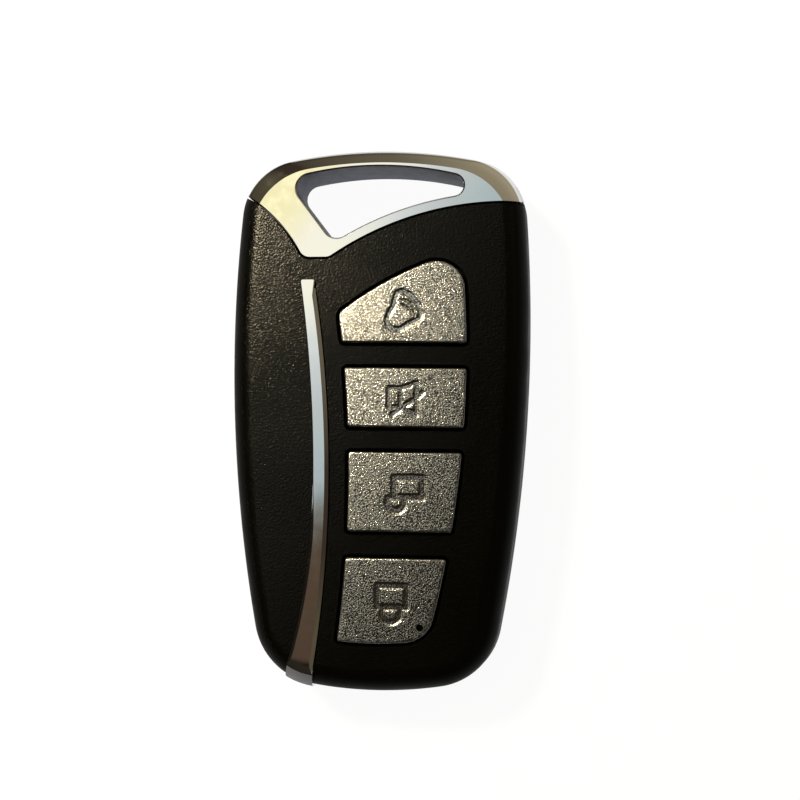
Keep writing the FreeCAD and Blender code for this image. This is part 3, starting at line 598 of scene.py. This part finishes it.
def add_node(tree, kind, sockets=(), stops=(), **settings):
    """Adds a node with its settings and links; stops are a colour ramp's places with greys or colours."""
    new = tree.nodes.new("ShaderNode" + kind)
    for name, value in settings.items():
        setattr(new, name, value)
    if stops:
        band = new.color_ramp.elements
        while len(band) < len(stops):
            band.new(0.5)
        for element, (at, value) in zip(band, stops):
            element.position = at
            element.color = (value, value, value, 1) if isinstance(value, (int, float)) else (*value, 1)
    feed(new, dict(sockets))
    return new


def new_material(name, colour, **shader):
    """A material with its shader's plain values set; returns it, add_node for it, shader and place."""
    material = bpy.data.materials.new(name)
    material.use_nodes = True
    surface = material.node_tree.nodes["Principled BSDF"]
    feed(surface, {"Base Color": (*colour, 1)})
    feed(surface, {socket.replace("_", " "): value for socket, value in shader.items()})
    add = partial(add_node, material.node_tree)
    return material, add, surface, add("TexCoord").outputs["Object"]


def shades(colour, *stops):
    """A colour ramp's stops from (place, factor) pairs, each the colour times its factor."""
    return [(at, tuple(min(1, c * factor) for c in colour)) for at, factor in stops]


def grained_abs(colours, sizes):
    """Black ABS moulded in a spark-eroded tool: round grains that glint one by one.

    Its real grain is too fine to show in the render, so it is drawn as coarse as it needs to show.
    """
    material, add, surface, place = new_material(
        "grained_abs", colours.shell, Roughness=0.22, IOR=1.53, Specular_IOR_Level=0.1)
    pitch = sizes.shell_grain
    grains = add("TexVoronoi", {"Vector": place, "Scale": 1 / pitch})
    fine = add("TexNoise", {"Vector": place, "Scale": 1.2 / pitch, "Detail": 1.0})
    height = add("Math", {0: grains, 1: -0.4, 2: fine}, operation="MULTIPLY_ADD")
    wear = add("TexNoise", {"Vector": place, "Scale": 1 / (11.1 * MM), "Detail": 3.0})
    feed(surface, {
        "Normal": add("Bump", {"Height": height, "Strength": 1.0, "Distance": 0.042 * MM}),
        "Roughness": add("ValToRGB", {"Fac": wear}, [(0.35, 0.18), (0.65, 0.25)]),
        "Base Color": add("ValToRGB", {"Fac": fine}, shades(colours.shell, (0.3, 0.75), (0.7, 1.25))),
    })
    return material


def smooth_abs(colours):
    """The same ABS off the tool's plain steel, on sides and walls of openings: deep black, handled."""
    material, add, surface, place = new_material(
        "smooth_abs", colours.shell, Roughness=0.45, IOR=1.53, Specular_IOR_Level=0.03)
    handling = add("TexNoise", {"Vector": place, "Scale": 1 / (3.33 * MM), "Detail": 3.0})
    feed(surface, {
        "Normal": add("Bump", {"Height": handling, "Strength": 0.4, "Distance": 0.02 * MM}),
        "Roughness": add("ValToRGB", {"Fac": handling}, [(0.35, 0.4), (0.65, 0.5)]),
    })
    return material


def sanded_silver(colours, sizes):
    """Silver lacquer over a sand-grained ABS key: metal flake on coarse bumps, each one glinting.

    Its real grain is too fine to show in the render, so it is drawn as coarse as it needs to show. The
    signs' grooves are smoother.
    """
    material, add, surface, place = new_material(
        "sanded_silver_lacquer", colours.key, Metallic=1.0, Roughness=0.22)
    pitch = sizes.key_grain
    sand = add("TexNoise", {"Vector": place, "Scale": 1.1 / pitch, "Detail": 1.5})
    flake = add("TexVoronoi", {"Vector": place, "Scale": 1.3 / pitch})
    height = add("Math", {0: flake, 1: -0.4, 2: sand}, operation="MULTIPLY_ADD")
    carved = add("Attribute", attribute_name="carved").outputs["Fac"]
    strength = add("Math", {0: carved, 1: -0.6, 2: 1.0}, operation="MULTIPLY_ADD")
    feed(surface, {
        "Normal": add("Bump", {"Height": height, "Strength": strength, "Distance": 0.057 * MM}),
        # The lacquer's tone follows the sand noise that also raises the bumps, darker in the grain's
        # valleys and lighter on its crests: partly the grain's own tone, partly painted shade and
        # highlight
        "Base Color": add("ValToRGB", {"Fac": sand}, shades(colours.key, (0.39, 0.3), (0.58, 1.3))),
    })
    return material


def chrome_plate(colours):
    """Bright chrome over a polished casting: a mirror with a faint haze. Faces picked by a face attribute
    are made dull and painted dark slate blue: painted shade and painted dark reflection.
    """
    material, add, surface, place = new_material(
        "chrome_plate", colours.bright, Metallic=1.0, Roughness=0.06)
    ripple = add("TexNoise", {"Vector": place, "Scale": 1 / (6.25 * MM), "Detail": 1.0})
    haze = add("TexNoise", {"Vector": place, "Scale": 1 / (1.43 * MM), "Detail": 4.0})
    gloss = add("ValToRGB", {"Fac": haze}, [(0.4, 0.045), (0.75, 0.11)])
    # Painted shade: this face attribute makes the plating dull and paints it dark slate blue
    dull_and_shade = add("Attribute", attribute_name="thin_plating").outputs["Fac"]
    feed(surface, {
        "Normal": add("Bump", {"Height": ripple, "Strength": 0.5, "Distance": 0.03 * MM}),
        "Base Color": add("ValToRGB", {"Fac": dull_and_shade},
                          [(0.0, tuple(colours.bright)), (1.0, linear("#3C4358"))]),
        "Metallic": add("ValToRGB", {"Fac": dull_and_shade}, [(0.0, 1.0), (1.0, 0.3)]),
        "Roughness": add("Math", {0: dull_and_shade, 1: 0.5, 2: gloss}, operation="MULTIPLY_ADD"),
    })
    return material


def moulded_plastic(name, code, roughness):
    """Plain moulded or pressed plastic, rubber or fired ceramic with a fine even tooth."""
    colour = linear(code)
    material, add, surface, place = new_material(name, colour, Roughness=roughness)
    tooth = add("TexNoise", {"Vector": place, "Scale": 1 / (0.12 * MM), "Detail": 2.0})
    feed(surface, {
        "Normal": add("Bump", {"Height": tooth, "Strength": 0.3, "Distance": 0.01 * MM}),
        "Base Color": add("ValToRGB", {"Fac": tooth}, shades(colour, (0.3, 0.85), (0.7, 1.12))),
    })
    return material


def plated_metal(name, code, roughness):
    """Plated sheet metal or wire: rolling lines along the strip and small stains."""
    colour = linear(code)
    material, add, surface, place = new_material(name, colour, Metallic=1.0, Roughness=roughness)
    lines = add("Mapping", {"Vector": place, "Scale": (1.0, 0.06, 1.0)})
    rolled = add("TexNoise", {"Vector": lines, "Scale": 1 / (0.05 * MM), "Detail": 3.0})
    stain = add("TexNoise", {"Vector": place, "Scale": 1 / (2.38 * MM), "Detail": 3.0})
    feed(surface, {
        "Roughness": add("ValToRGB", {"Fac": rolled},
                         [(0.35, roughness * 0.8), (0.7, roughness * 1.3)]),
        "Base Color": add("ValToRGB", {"Fac": stain}, shades(colour, (0.3, 0.82), (0.6, 1))),
    })
    return material


def solder_mask(colours):
    """Glass laminate under green solder mask: the woven glass shows faintly, the gloss is even."""
    material, add, surface, place = new_material(
        "solder_mask", colours.board, Roughness=0.25, Coat_Weight=0.4, Coat_Roughness=0.12)
    waves = [add("TexWave", {"Vector": place, "Scale": 1 / (2.6 * MM), "Distortion": 0.6},
                 bands_direction=way).outputs["Fac"] for way in "XY"]
    weave = add("Math", dict(enumerate(waves)), operation="MULTIPLY")
    feed(surface, {
        "Normal": add("Bump", {"Height": weave, "Strength": 0.2, "Distance": 0.01 * MM}),
        "Base Color": add("ValToRGB", {"Fac": weave}, shades(colours.board, (0.1, 0.8), (0.9, 1.2))),
    })
    return material


def clear_epoxy():
    """The lamp's clear epoxy over its white reflector, with a little haze."""
    material, add, surface, place = new_material(
        "clear_epoxy", linear("#EFEADB"), Roughness=0.12, IOR=1.52, Transmission_Weight=0.55)
    haze = add("TexNoise", {"Vector": place, "Scale": 1 / (0.4 * MM), "Detail": 2.0})
    feed(surface, {"Roughness": add("ValToRGB", {"Fac": haze}, [(0.3, 0.08), (0.7, 0.2)])})
    return material


# Signs: strokes in millimetres on the keys, as open or closed runs of points

def run(points, closed=False, share=1.0):
    """The pieces of a line through points, each with its share of the full groove's width."""
    ends = points[1:] + points[:1] if closed else points[1:]
    return [(*pair, share) for pair in zip(points, ends)]


def hung_arc(centre, radius):
    """Points of the half circle under a centre, from right to left."""
    turns = [math.radians(-11.25 * i) for i in range(17)]
    return [(centre[0] + radius * math.cos(t), centre[1] + radius * math.sin(t)) for t in turns]


SIGNS = {
    # A bell that hangs askew: its outline, its mouth's rim and its clapper
    "alarm": run([(2.65, 16.3), (3.34, 16.53), (4.36, 16.04), (5.43, 14.7), (5.84, 13.62), (5.6, 12.91),
                  (4.76, 12.5), (3.96, 12.02), (3.01, 11.42), (2.15, 11.44), (1.47, 12.0), (1.38, 12.85),
                  (1.69, 13.7), (2.2, 14.5), (2.38, 15.5)], True, 0.78)
    + run([(2.6, 15.35), (3.72, 15.36), (4.55, 14.84), (4.9, 14.1), (5.05, 13.2)], share=0.3)
    + run([(3.35, 14.72), (3.95, 14.42), (4.45, 13.95), (4.68, 13.5)], share=0.34),
    # A loudspeaker crossed out: magnet, cone and bar
    "horn": run([(1.8, 3.7), (3.34, 3.7), (3.34, 1.22), (1.8, 1.22)], True, 0.72)
    + run([(3.34, 3.7), (5.38, 4.42), (5.42, 0.3), (3.34, 1.22)], share=0.72)
    + run([(2.3, 0.3), (3.85, 1.45), (5.08, 2.15), (6.1, 3.15)], share=0.8),
    # A padlock with its shackle swung clear
    "unlock": run([(2.7, -7.94), (6.34, -7.94), (6.34, -10.5), (2.7, -10.5)], True)
    + run([(4.02, -10.5)] + hung_arc((2.91, -11.2), 1.08) + [(1.9, -10.7)]),
    # A padlock with its shackle home
    "lock": run([(0.62, -22.05), (4.4, -22.05), (4.4, -24.85), (0.62, -24.85)], True, 0.9)
    + run([(3.55, -24.85)] + hung_arc((2.37, -25.6), 1.2) + [(1.17, -24.85)], share=0.85),
}


def past_stroke(x, y, strokes, width):
    """How far a place lies outside the nearest stroke's edge; it is negative in the groove."""
    nearest = 1e9
    for (ax, ay), (bx, by), part in strokes:
        dx, dy = bx - ax, by - ay
        size = dx * dx + dy * dy
        share = max(0.0, min(1.0, ((x - ax) * dx + (y - ay) * dy) / size)) if size else 0.0
        nearest = min(nearest, math.hypot(x - ax - dx * share, y - ay - dy * share) - part * width / 2)
    return nearest


def sign_box(strokes, margin):
    """The lowest and highest corners of a sign, with a margin."""
    points = [p for pair in strokes for p in pair[:2]]
    return ((min(p[0] for p in points) - margin, min(p[1] for p in points) - margin),
            (max(p[0] for p in points) + margin, max(p[1] for p in points) + margin))


def engraved(piece, strokes, pitch, width, depth, z):
    """Presses the sign's flat-bottomed grooves, with sloping sides, into a key's flat top."""
    box = sign_box(strokes, width / 2 + 1.5 * GROOVE_SLOPE)

    def in_box(x, y):
        return box[0][0] < x < box[1][0] and box[0][1] < y < box[1][1]

    def on_top(normal, middle):
        return normal.z > 0.9 and abs(middle.z - z) < 0.02

    def on_sign(normal, middle):
        return on_top(normal, middle) and in_box(middle.x, middle.y)

    with editing(piece, "FACE"):
        for axis in (0, 1):
            for corner in box:
                sliced(piece, axis, corner[axis], on_top)
        for axis in (0, 1):
            size = box[1][axis] - box[0][axis]
            count = math.ceil(size / pitch)
            for i in range(1, count):
                sliced(piece, axis, box[0][axis] + size * i / count, on_sign)
    carved = piece.data.attributes.new("carved", "FLOAT", "POINT")
    for vertex in piece.data.vertices:
        x, y, high = vertex.co
        if abs(high - z) < 0.01 and in_box(x, y):
            past = past_stroke(x, y, strokes, width)
            share = max(0.0, min(1.0, 0.5 - past / (2 * GROOVE_SLOPE)))
            vertex.co.z -= depth * smooth(share)
            carved.data[vertex.index].value = share
    return box


# Operators, one for each piece or group of like pieces

class REMOTE_OT_front_shell(bpy.types.Operator):
    """Front half of the case: crowned, rolled edge, key openings and the strip's channel"""

    bl_idname = "remote.front_shell"
    bl_label = "Front shell"

    def execute(self, context):
        sizes, colours = context.scene.remote_sizes, context.scene.remote_colours
        shell = skin("shell_front", 0.0, PARTING + PARTING_CHAMFER)
        seam = [(-PARTING_CHAMFER, PARTING), (0.0, PARTING + PARTING_CHAMFER),
                (0.0, PARTING + 2 * PARTING_CHAMFER)]
        joined(shell, block("seam", body_plan(), seam), "UNION")
        joined(shell, room_block(5.0, THICKNESS - WALL))
        notch = notch_plan(SHOWN_NOTCH_GAP)
        joined(shell, block("notch", notch, [(0, 4.0)] + rim_levels(THICKNESS, 1, NOTCH_RIM)))
        joined(shell, tongue_block(TONGUE_GAP, POCKET_END, 4.0, TONGUE_HIGH + TONGUE_GAP))
        openings = list(key_plans(KEY_GAP).values())
        rim = rim_levels(THICKNESS, 1, sizes.opening_rim / MM)
        for opening in openings:
            joined(shell, block("opening", opening, [(0, 8.0)] + rim))
        channel = block("channel", trim_plan(TRIM_GAP), [(0, TRIM_LOW - TRIM_GAP), (0, ABOVE)])
        joined(channel, skin("floor", -TRIM_DEPTH, 3.0))
        joined(shell, channel)
        gridded(shell, sizes.crown_pitch / MM)
        smooth_faces = walls(shell, [notch] + openings, steep=0.98, anywhere=0.84)
        crowned(shell, CROWN_FROM, THICKNESS - FRONT_ROLL)
        finished(shell, "case", grained_abs(colours, sizes), ["front_shell"])
        faced(shell, smooth_abs(colours), smooth_faces)
        return {"FINISHED"}


class REMOTE_OT_rear_shell(bpy.types.Operator):
    """Rear half of the case: rolled edge, screw recesses, columns and loop posts"""

    bl_idname = "remote.rear_shell"
    bl_label = "Rear shell"

    def execute(self, context):
        levels = rounding(REAR_ROLL, 0.0, -1, 9)[::-1]
        levels += [(0, PARTING - PARTING_CHAMFER), (-PARTING_CHAMFER, PARTING)]
        shell = block("shell_rear", body_plan(), levels)
        room = room_block(WALL, 7.0)
        for place in SCREWS:
            joined(room, rod(place, COLUMN_RADIUS, 40, BELOW, BOARD_LOW))
        for place in POSTS:
            joined(room, rod(place, POST_LAND, 32, BELOW, TONGUE_LOW))
        joined(shell, room)
        rim = rim_levels(0.0, -1, NOTCH_GAP)[::-1]
        joined(shell, block("notch", notch_plan(NOTCH_GAP), rim + [(0, 9.0)]))
        joined(shell, tongue_block(TONGUE_GAP, POCKET_END, TONGUE_LOW - TONGUE_GAP, 9.0))
        rim = rim_levels(0.0, -1, RECESS_RIM)[::-1]
        for place in SCREWS:
            joined(shell, block("recess", circle_plan(place, HEAD_RECESS, 48), rim + [(0, SEAT)]))
            joined(shell, rod(place, SHANK_HOLE, 32, BELOW, 9.0))
        for place in POSTS:
            joined(shell, rod(place, POST_RADIUS, 32, 4.0, POST_TOP), "UNION")
        smooth_faces = walls(shell, [], steep=0.0, anywhere=0.84)
        finished(shell, "case", bpy.data.materials["grained_abs"], ["rear_shell"])
        faced(shell, bpy.data.materials["smooth_abs"], smooth_faces)
        return {"FINISHED"}


class REMOTE_OT_key_loop(bpy.types.Operator):
    """Key ring loop: bevelled bright ring round its window, with the tongue that the shells hold"""

    bl_idname = "remote.key_loop"
    bl_label = "Key ring loop"

    def execute(self, context):
        sizes, colours = context.scene.remote_sizes, context.scene.remote_colours
        outer, upper = body_plan(), body_plan(*LOOP_UPPER)
        rings = [ring(outer, grow, z) for grow, z in (
            (-LOOP_REAR_BEVEL, LOOP_LOW), (-LOOP_REAR_BEVEL * 0.3, LOOP_LOW + 0.45),
            (0, LOOP_LOW + LOOP_REAR_BEVEL), (0, LOOP_BEVEL_LOW))]
        for share, high in SHOULDER:
            z = LOOP_BEVEL_LOW + (THICKNESS - LOOP_BEVEL_LOW) * high
            rings.append([(a[0] + (b[0] - a[0]) * share, a[1] + (b[1] - a[1]) * share, z)
                          for a, b in zip(outer, upper)])
        loop = stacked("ring_loop", rings)
        joined(loop, block("notch", notch_plan(), [(0, -1), (0, ABOVE)]), "INTERSECT")
        joined(loop, tongue_block(0.0, TONGUE_END, TONGUE_LOW, TONGUE_HIGH), "UNION")
        for place in POSTS:
            joined(loop, rod(place, POST_HOLE, 32, 2, 10))
        window = window_plan()
        levels = rim_levels(LOOP_LOW, -1, WINDOW_REAR_RIM)[::-1] + rim_levels(THICKNESS, 1, WINDOW_RIM)
        joined(loop, block("window", window, levels))
        gridded(loop, sizes.crown_pitch / MM * 0.6)
        # Painted shade: the outer walls are made a little dull and dark, and the window, the notch and
        # the tongue fully dull and dark slate
        shares = dict.fromkeys(walls(loop, [], steep=0.0, anywhere=0.12), 0.3)
        inner = walls(loop, [window]) + walls(loop, [notch_plan()], reach=0.2)
        inner += [face.index for face in loop.data.polygons
                  if face.normal.z > 0.5 and face.center.z < TONGUE_HIGH + 0.4]
        shares.update(dict.fromkeys(inner, 1.0))
        noted(loop, "thin_plating", shares)
        creased(loop)
        crowned(loop, LOOP_BEVEL_LOW, THICKNESS)
        finished(loop, "case", chrome_plate(colours), ["key_loop"])
        return {"FINISHED"}


class REMOTE_OT_trim_strip(bpy.types.Operator):
    """Trim strip: bright, bevelled along its right side, wrapped over the bottom edge"""

    bl_idname = "remote.trim_strip"
    bl_label = "Trim strip"

    def execute(self, context):
        strip = skin("strip", TRIM_PROUD, TRIM_LOW)
        top = THICKNESS + TRIM_PROUD
        # Height, right bevel, left bevel, by how much that widens low down, and its lift
        bevels = [(5.0, 0, 0, 0), (top - 0.5, 0, 0, 0), (top - 0.4, 0.05, 0, 0),
                  (top - 0.3, 0.12, 0, 0, 0.2), (top - 0.08, 0.49, 0, 0.3), (top + 0.05, 0.7, 0.19, 0.31)]
        joined(strip, stacked("plan", [trim_ring(*bevel) for bevel in bevels]), "INTERSECT")
        joined(strip, skin("floor", -TRIM_DEPTH, 3.0))
        gridded(strip, context.scene.remote_sizes.crown_pitch / MM)
        creased(strip)
        crowned(strip, CROWN_FROM, THICKNESS - FRONT_ROLL)
        # Painted shade: the end that wraps over the bottom edge is made dull and dark slate
        noted(strip, "thin_plating", {
            face.index: 0.85 for face in strip.data.polygons
            if face.normal.z < 0.86 and face.normal.y < -0.3})
        finished(strip, "case", bpy.data.materials["chrome_plate"], ["trim_strip"])
        return {"FINISHED"}


class REMOTE_OT_keys(bpy.types.Operator):
    """The four keys: hollow, crowned, flanged, each with its engraved sign"""

    bl_idname = "remote.keys"
    bl_label = "Keys"

    def execute(self, context):
        sizes = context.scene.remote_sizes
        silver = sanded_silver(context.scene.remote_colours, sizes)
        top = THICKNESS + KEY_PROUD
        hollows = key_plans(-KEY_WALL)
        for name, loop in key_plans().items():
            levels = [(FLANGE_REACH, FLANGE_LOW), (FLANGE_REACH, FLANGE_TOP), (0, FLANGE_TOP)]
            key = block("key_" + name, loop, levels + rounding(KEY_ROUND, top, 1, 5))
            joined(key, block("hollow", hollows[name], [(0, KEY_CROWN_FROM), (0, top - KEY_ROOF)]))
            joined(key, rod(NIBS[name], NIB_RADIUS, 40, PLUNGER_TOP, top - KEY_ROOF + 0.4), "UNION")
            if name == "lock":
                hole = circle_plan(LAMP, LAMP_RADIUS, 32)
                joined(key, block("lamp_hole", hole, [(0, 7.0)] + rim_levels(top, 1, LAMP_RIM)))
            box = engraved(key, SIGNS[name], sizes.sign_pitch / MM, sizes.groove_width / MM,
                           sizes.groove_depth / MM, top)
            gridded(key, sizes.crown_pitch / MM, box)
            for vertex in key.data.vertices:
                if vertex.co.z > KEY_CROWN_FROM:
                    vertex.co.z -= drop(vertex.co.x, vertex.co.y)
            # Painted shade: the sides and the flange get the black shell material instead of the silver,
            # so that the gaps round the keys look black
            painted_shade_sides = [face.index for face in key.data.polygons
                    if face.center.z + drop(*face.center[:2]) < top - KEY_ROUND * 1.3]
            finished(key, name + "_key", silver, [name + "_button"], edge=40)
            faced(key, bpy.data.materials["smooth_abs"], painted_shade_sides)
        return {"FINISHED"}


class REMOTE_OT_inner_finishes(bpy.types.Operator):
    """Finishes of the pieces that keep their solids: board, switches, cell, contacts and screws"""

    bl_idname = "remote.inner_finishes"
    bl_label = "Inner finishes"

    def execute(self, context):
        finishes = {
            solder_mask(context.scene.remote_colours): ["circuit_board"],
            clear_epoxy(): ["indicator_led"],
            moulded_plastic("epoxy_compound", "#1B1B1C", 0.55): ["encoder_chip", "rf_transistor"],
            plated_metal("nickel_can", "#C9C7C0", 0.3): ["saw_resonator"],
            moulded_plastic("resistor_glaze", "#202024", 0.3): ["chip_resistors"],
            moulded_plastic("capacitor_ceramic", "#A8855C", 0.5): ["chip_capacitors"],
            moulded_plastic("ferrite", "#5E6064", 0.55): ["chip_inductors"],
            plated_metal("gold_flashed_copper", "#D9A25A", 0.28): ["antenna_track"],
            plated_metal("silvered_brass", "#CFC9B8", 0.25): ["switch_terminals"],
            plated_metal("nickel_spring_strip", "#C8C5BB", 0.24): [
                "positive_contact", "negative_contact"],
            plated_metal("nickel_plated_steel", "#CBCBC9", 0.22): ["cell_can", "cell_cap"],
            moulded_plastic("polypropylene_seal", "#5A5A58", 0.5): ["cell_gasket"],
            plated_metal("black_zinc_screw", "#5C5C60", 0.35): ["case_screws"],
        }
        black = moulded_plastic("black_nylon", "#1C1C1D", 0.5)
        cover = plated_metal("stainless_cover", "#BDBDBA", 0.3)
        for key in SIGNS:
            finishes.setdefault(black, []).extend([key + "_switch_base", key + "_switch_plunger"])
            finishes.setdefault(cover, []).extend([key + "_switch_cover", key + "_switch_dome"])
        for material, nodes in finishes.items():
            for name in nodes:
                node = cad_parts[name]
                if not node.material_slots:
                    node.data.materials.append(material)
                for slot in node.material_slots:
                    slot.material = material
        return {"FINISHED"}


class REMOTE_OT_stage(bpy.types.Operator):
    """Pale floor, soft light from the upper left, the room's reflections and the camera"""

    bl_idname = "remote.stage"
    bl_label = "Stage"

    def execute(self, context):
        pale_floor(context.scene.remote_colours)
        softbox()
        surroundings()
        camera_above()
        context.scene.view_settings.view_transform = "Standard"
        return {"FINISHED"}


def pale_floor(colours):
    """A matt white board; most of its white is its own, so that the shadow on it stays faint.

    Only the camera, glosses and glass see that white; the light that the board scatters doesn't have it.
    """
    bpy.ops.object.select_all(action="DESELECT")
    bpy.ops.mesh.primitive_plane_add(size=3.0)
    floor = bpy.context.object
    floor.name = "floor"
    material, add, surface, _ = new_material(
        "matt_board", colours.floor, Roughness=0.9, Specular_IOR_Level=0.0)
    rays = add("LightPath").outputs
    seen = add("Math", {0: rays["Is Camera Ray"], 1: rays["Is Glossy Ray"]}, operation="MAXIMUM")
    seen = add("Math", {0: seen, 1: rays["Is Transmission Ray"]}, operation="MAXIMUM")
    share = add("Math", {0: seen, 1: 0.95}, operation="MULTIPLY")
    white = add("Emission", {"Color": (*linear("#FFFFFF"), 1)})
    mixed = add("MixShader", {0: share, 1: surface, 2: white})
    feed(material.node_tree.nodes["Material Output"], {"Surface": mixed})
    floor.data.materials.append(material)


def softbox():
    """The only lamp: a small warm softbox at the upper left, 0.9 m away, which looks at the origin."""
    place = Vector((-0.46, 0.43, 0.66))
    turn = place.to_track_quat("Z", "Y").to_euler()
    bpy.ops.object.light_add(type="AREA", location=place, rotation=turn)
    lamp = bpy.context.object
    lamp.name = lamp.data.name = "softbox_upper_left"
    lamp.data.energy = 19.0
    lamp.data.color = linear("#FFECC6")
    lamp.data.shape = "RECTANGLE"
    lamp.data.size = lamp.data.size_y = 0.16


def surroundings():
    """A dim warm room for light and reflections, plain white for the camera.

    Overhead it goes from dark at the lower right to bright at the upper left, as the photograph's bright
    pieces mirror it. Near the horizon it is dim walls, darkest a little above the floor.
    """
    world = bpy.data.worlds.new("room")
    bpy.context.scene.world = world
    world.use_nodes = True
    tree = world.node_tree
    add = partial(add_node, tree)
    way = add("TexCoord").outputs["Generated"]

    def along(direction, stops):
        """A band of colours over the room, along a level direction."""
        across = add("VectorMath", {0: way, 1: direction}, operation="DOT_PRODUCT")
        level = add("MapRange", {"Value": across.outputs["Value"], "From Min": -1.0})
        return add("ValToRGB", {"Fac": level}, [(at, linear(code)) for at, code in stops])

    overhead = along((-1, 1, 0), (
        (0.40, "#120C09"), (0.50, "#503F33"), (0.56, "#544635"), (0.579, "#68635A"), (0.605, "#ADB9B9"),
        (0.634, "#B6C2BF"), (0.665, "#C4C9C5"), (0.697, "#D5DAD6"), (0.721, "#EFEFE1"),
        (0.75, "#FFFDE4"), (0.779, "#FFFAE6"), (0.82, "#FDF4BE")))
    round_walls = along((0.6, 0.8, 0), (
        (0.2, "#29241D"), (0.5, "#4C4535"), (0.58, "#544E3C"), (0.66, "#382E24"), (0.73, "#3A3026"),
        (0.79, "#5A5242"), (0.86, "#6E6551"), (0.94, "#A3977B")))
    high = add("SeparateXYZ", {"Vector": way}).outputs["Z"]
    dim = add("ValToRGB", {"Fac": high}, [(0.0, 1.0), (0.10, 0.45), (0.25, 0.85), (0.6, 1.0)])
    room_walls = add("VectorMath", {0: round_walls, 1: dim}, operation="MULTIPLY")
    # From the walls to overhead
    lift = add("MapRange", {"Value": high, "From Min": 0.70, "From Max": 0.86},
               interpolation_type="SMOOTHSTEP")
    blend = add("Mix", {"Factor": lift, 6: room_walls, 7: overhead}, data_type="RGBA")
    feed(tree.nodes["Background"], {"Color": blend.outputs[2], "Strength": 1.5})
    seen = add("LightPath").outputs["Is Camera Ray"]
    white = add("Background", {"Color": (*linear("#FFFFFF"), 1)})
    mixed = add("MixShader", {0: seen, 1: tree.nodes["Background"], 2: white})
    feed(tree.nodes["World Output"], {"Surface": mixed})


def camera_above():
    """Camera above the keys, turned as the photograph's was."""
    tilt_x, tilt_y, roll = math.radians(7.0), math.radians(3.0), math.radians(0.95)
    back = Vector((math.sin(tilt_x), -math.sin(tilt_y), 0))
    back.z = math.sqrt(1 - back.length_squared)
    right = Vector((0, 1, 0)).cross(back).normalized()
    up = back.cross(right)
    spin = Matrix.Rotation(roll, 3, back)
    turn = Matrix((spin @ right, spin @ up, back)).transposed()
    place = Vector((0, 0, CAMERA_AIM_Z * MM)) + back * CAMERA_AWAY * MM
    bpy.ops.object.camera_add(location=place, rotation=turn.to_euler())
    camera = bpy.context.object
    camera.data.sensor_width = SENSOR
    camera.data.lens = FOCAL_PX / FRAME_PX * SENSOR
    camera.data.shift_x = camera.data.shift_y = SHIFT_PX / FRAME_PX
    camera.data.clip_start, camera.data.clip_end = 0.01, 10
    bpy.context.scene.camera = camera


OPERATORS = (REMOTE_OT_front_shell, REMOTE_OT_rear_shell, REMOTE_OT_key_loop, REMOTE_OT_trim_strip,
             REMOTE_OT_keys, REMOTE_OT_inner_finishes, REMOTE_OT_stage)


class REMOTE_PT_panel(bpy.types.Panel):
    """Lists the remote control's sizes, colours and building steps"""

    bl_idname = "REMOTE_PT_panel"
    bl_label = "Gate remote control"
    bl_space_type = "VIEW_3D"
    bl_region_type = "UI"
    bl_category = "Remote"

    def draw(self, context):
        for group in (context.scene.remote_sizes, context.scene.remote_colours):
            box = self.layout.box()
            for name in group.bl_rna.properties.keys():
                if name not in ("rna_type", "name"):
                    box.prop(group, name)
        for operator in OPERATORS:
            self.layout.operator(operator.bl_idname)


CLASSES = (RemoteSizes, RemoteColours, *OPERATORS, REMOTE_PT_panel)


def register():
    for cls in CLASSES:
        bpy.utils.register_class(cls)
    bpy.types.Scene.remote_sizes = bpy.props.PointerProperty(type=RemoteSizes)
    bpy.types.Scene.remote_colours = bpy.props.PointerProperty(type=RemoteColours)


def unregister():
    del bpy.types.Scene.remote_sizes, bpy.types.Scene.remote_colours
    for cls in reversed(CLASSES):
        bpy.utils.unregister_class(cls)


def main():
    register()
    bpy.ops.remote.front_shell()
    bpy.ops.remote.rear_shell()
    bpy.ops.remote.key_loop()
    bpy.ops.remote.trim_strip()
    bpy.ops.remote.keys()
    bpy.ops.remote.inner_finishes()
    bpy.ops.remote.stage()


if __name__ == "__main__":
    main()
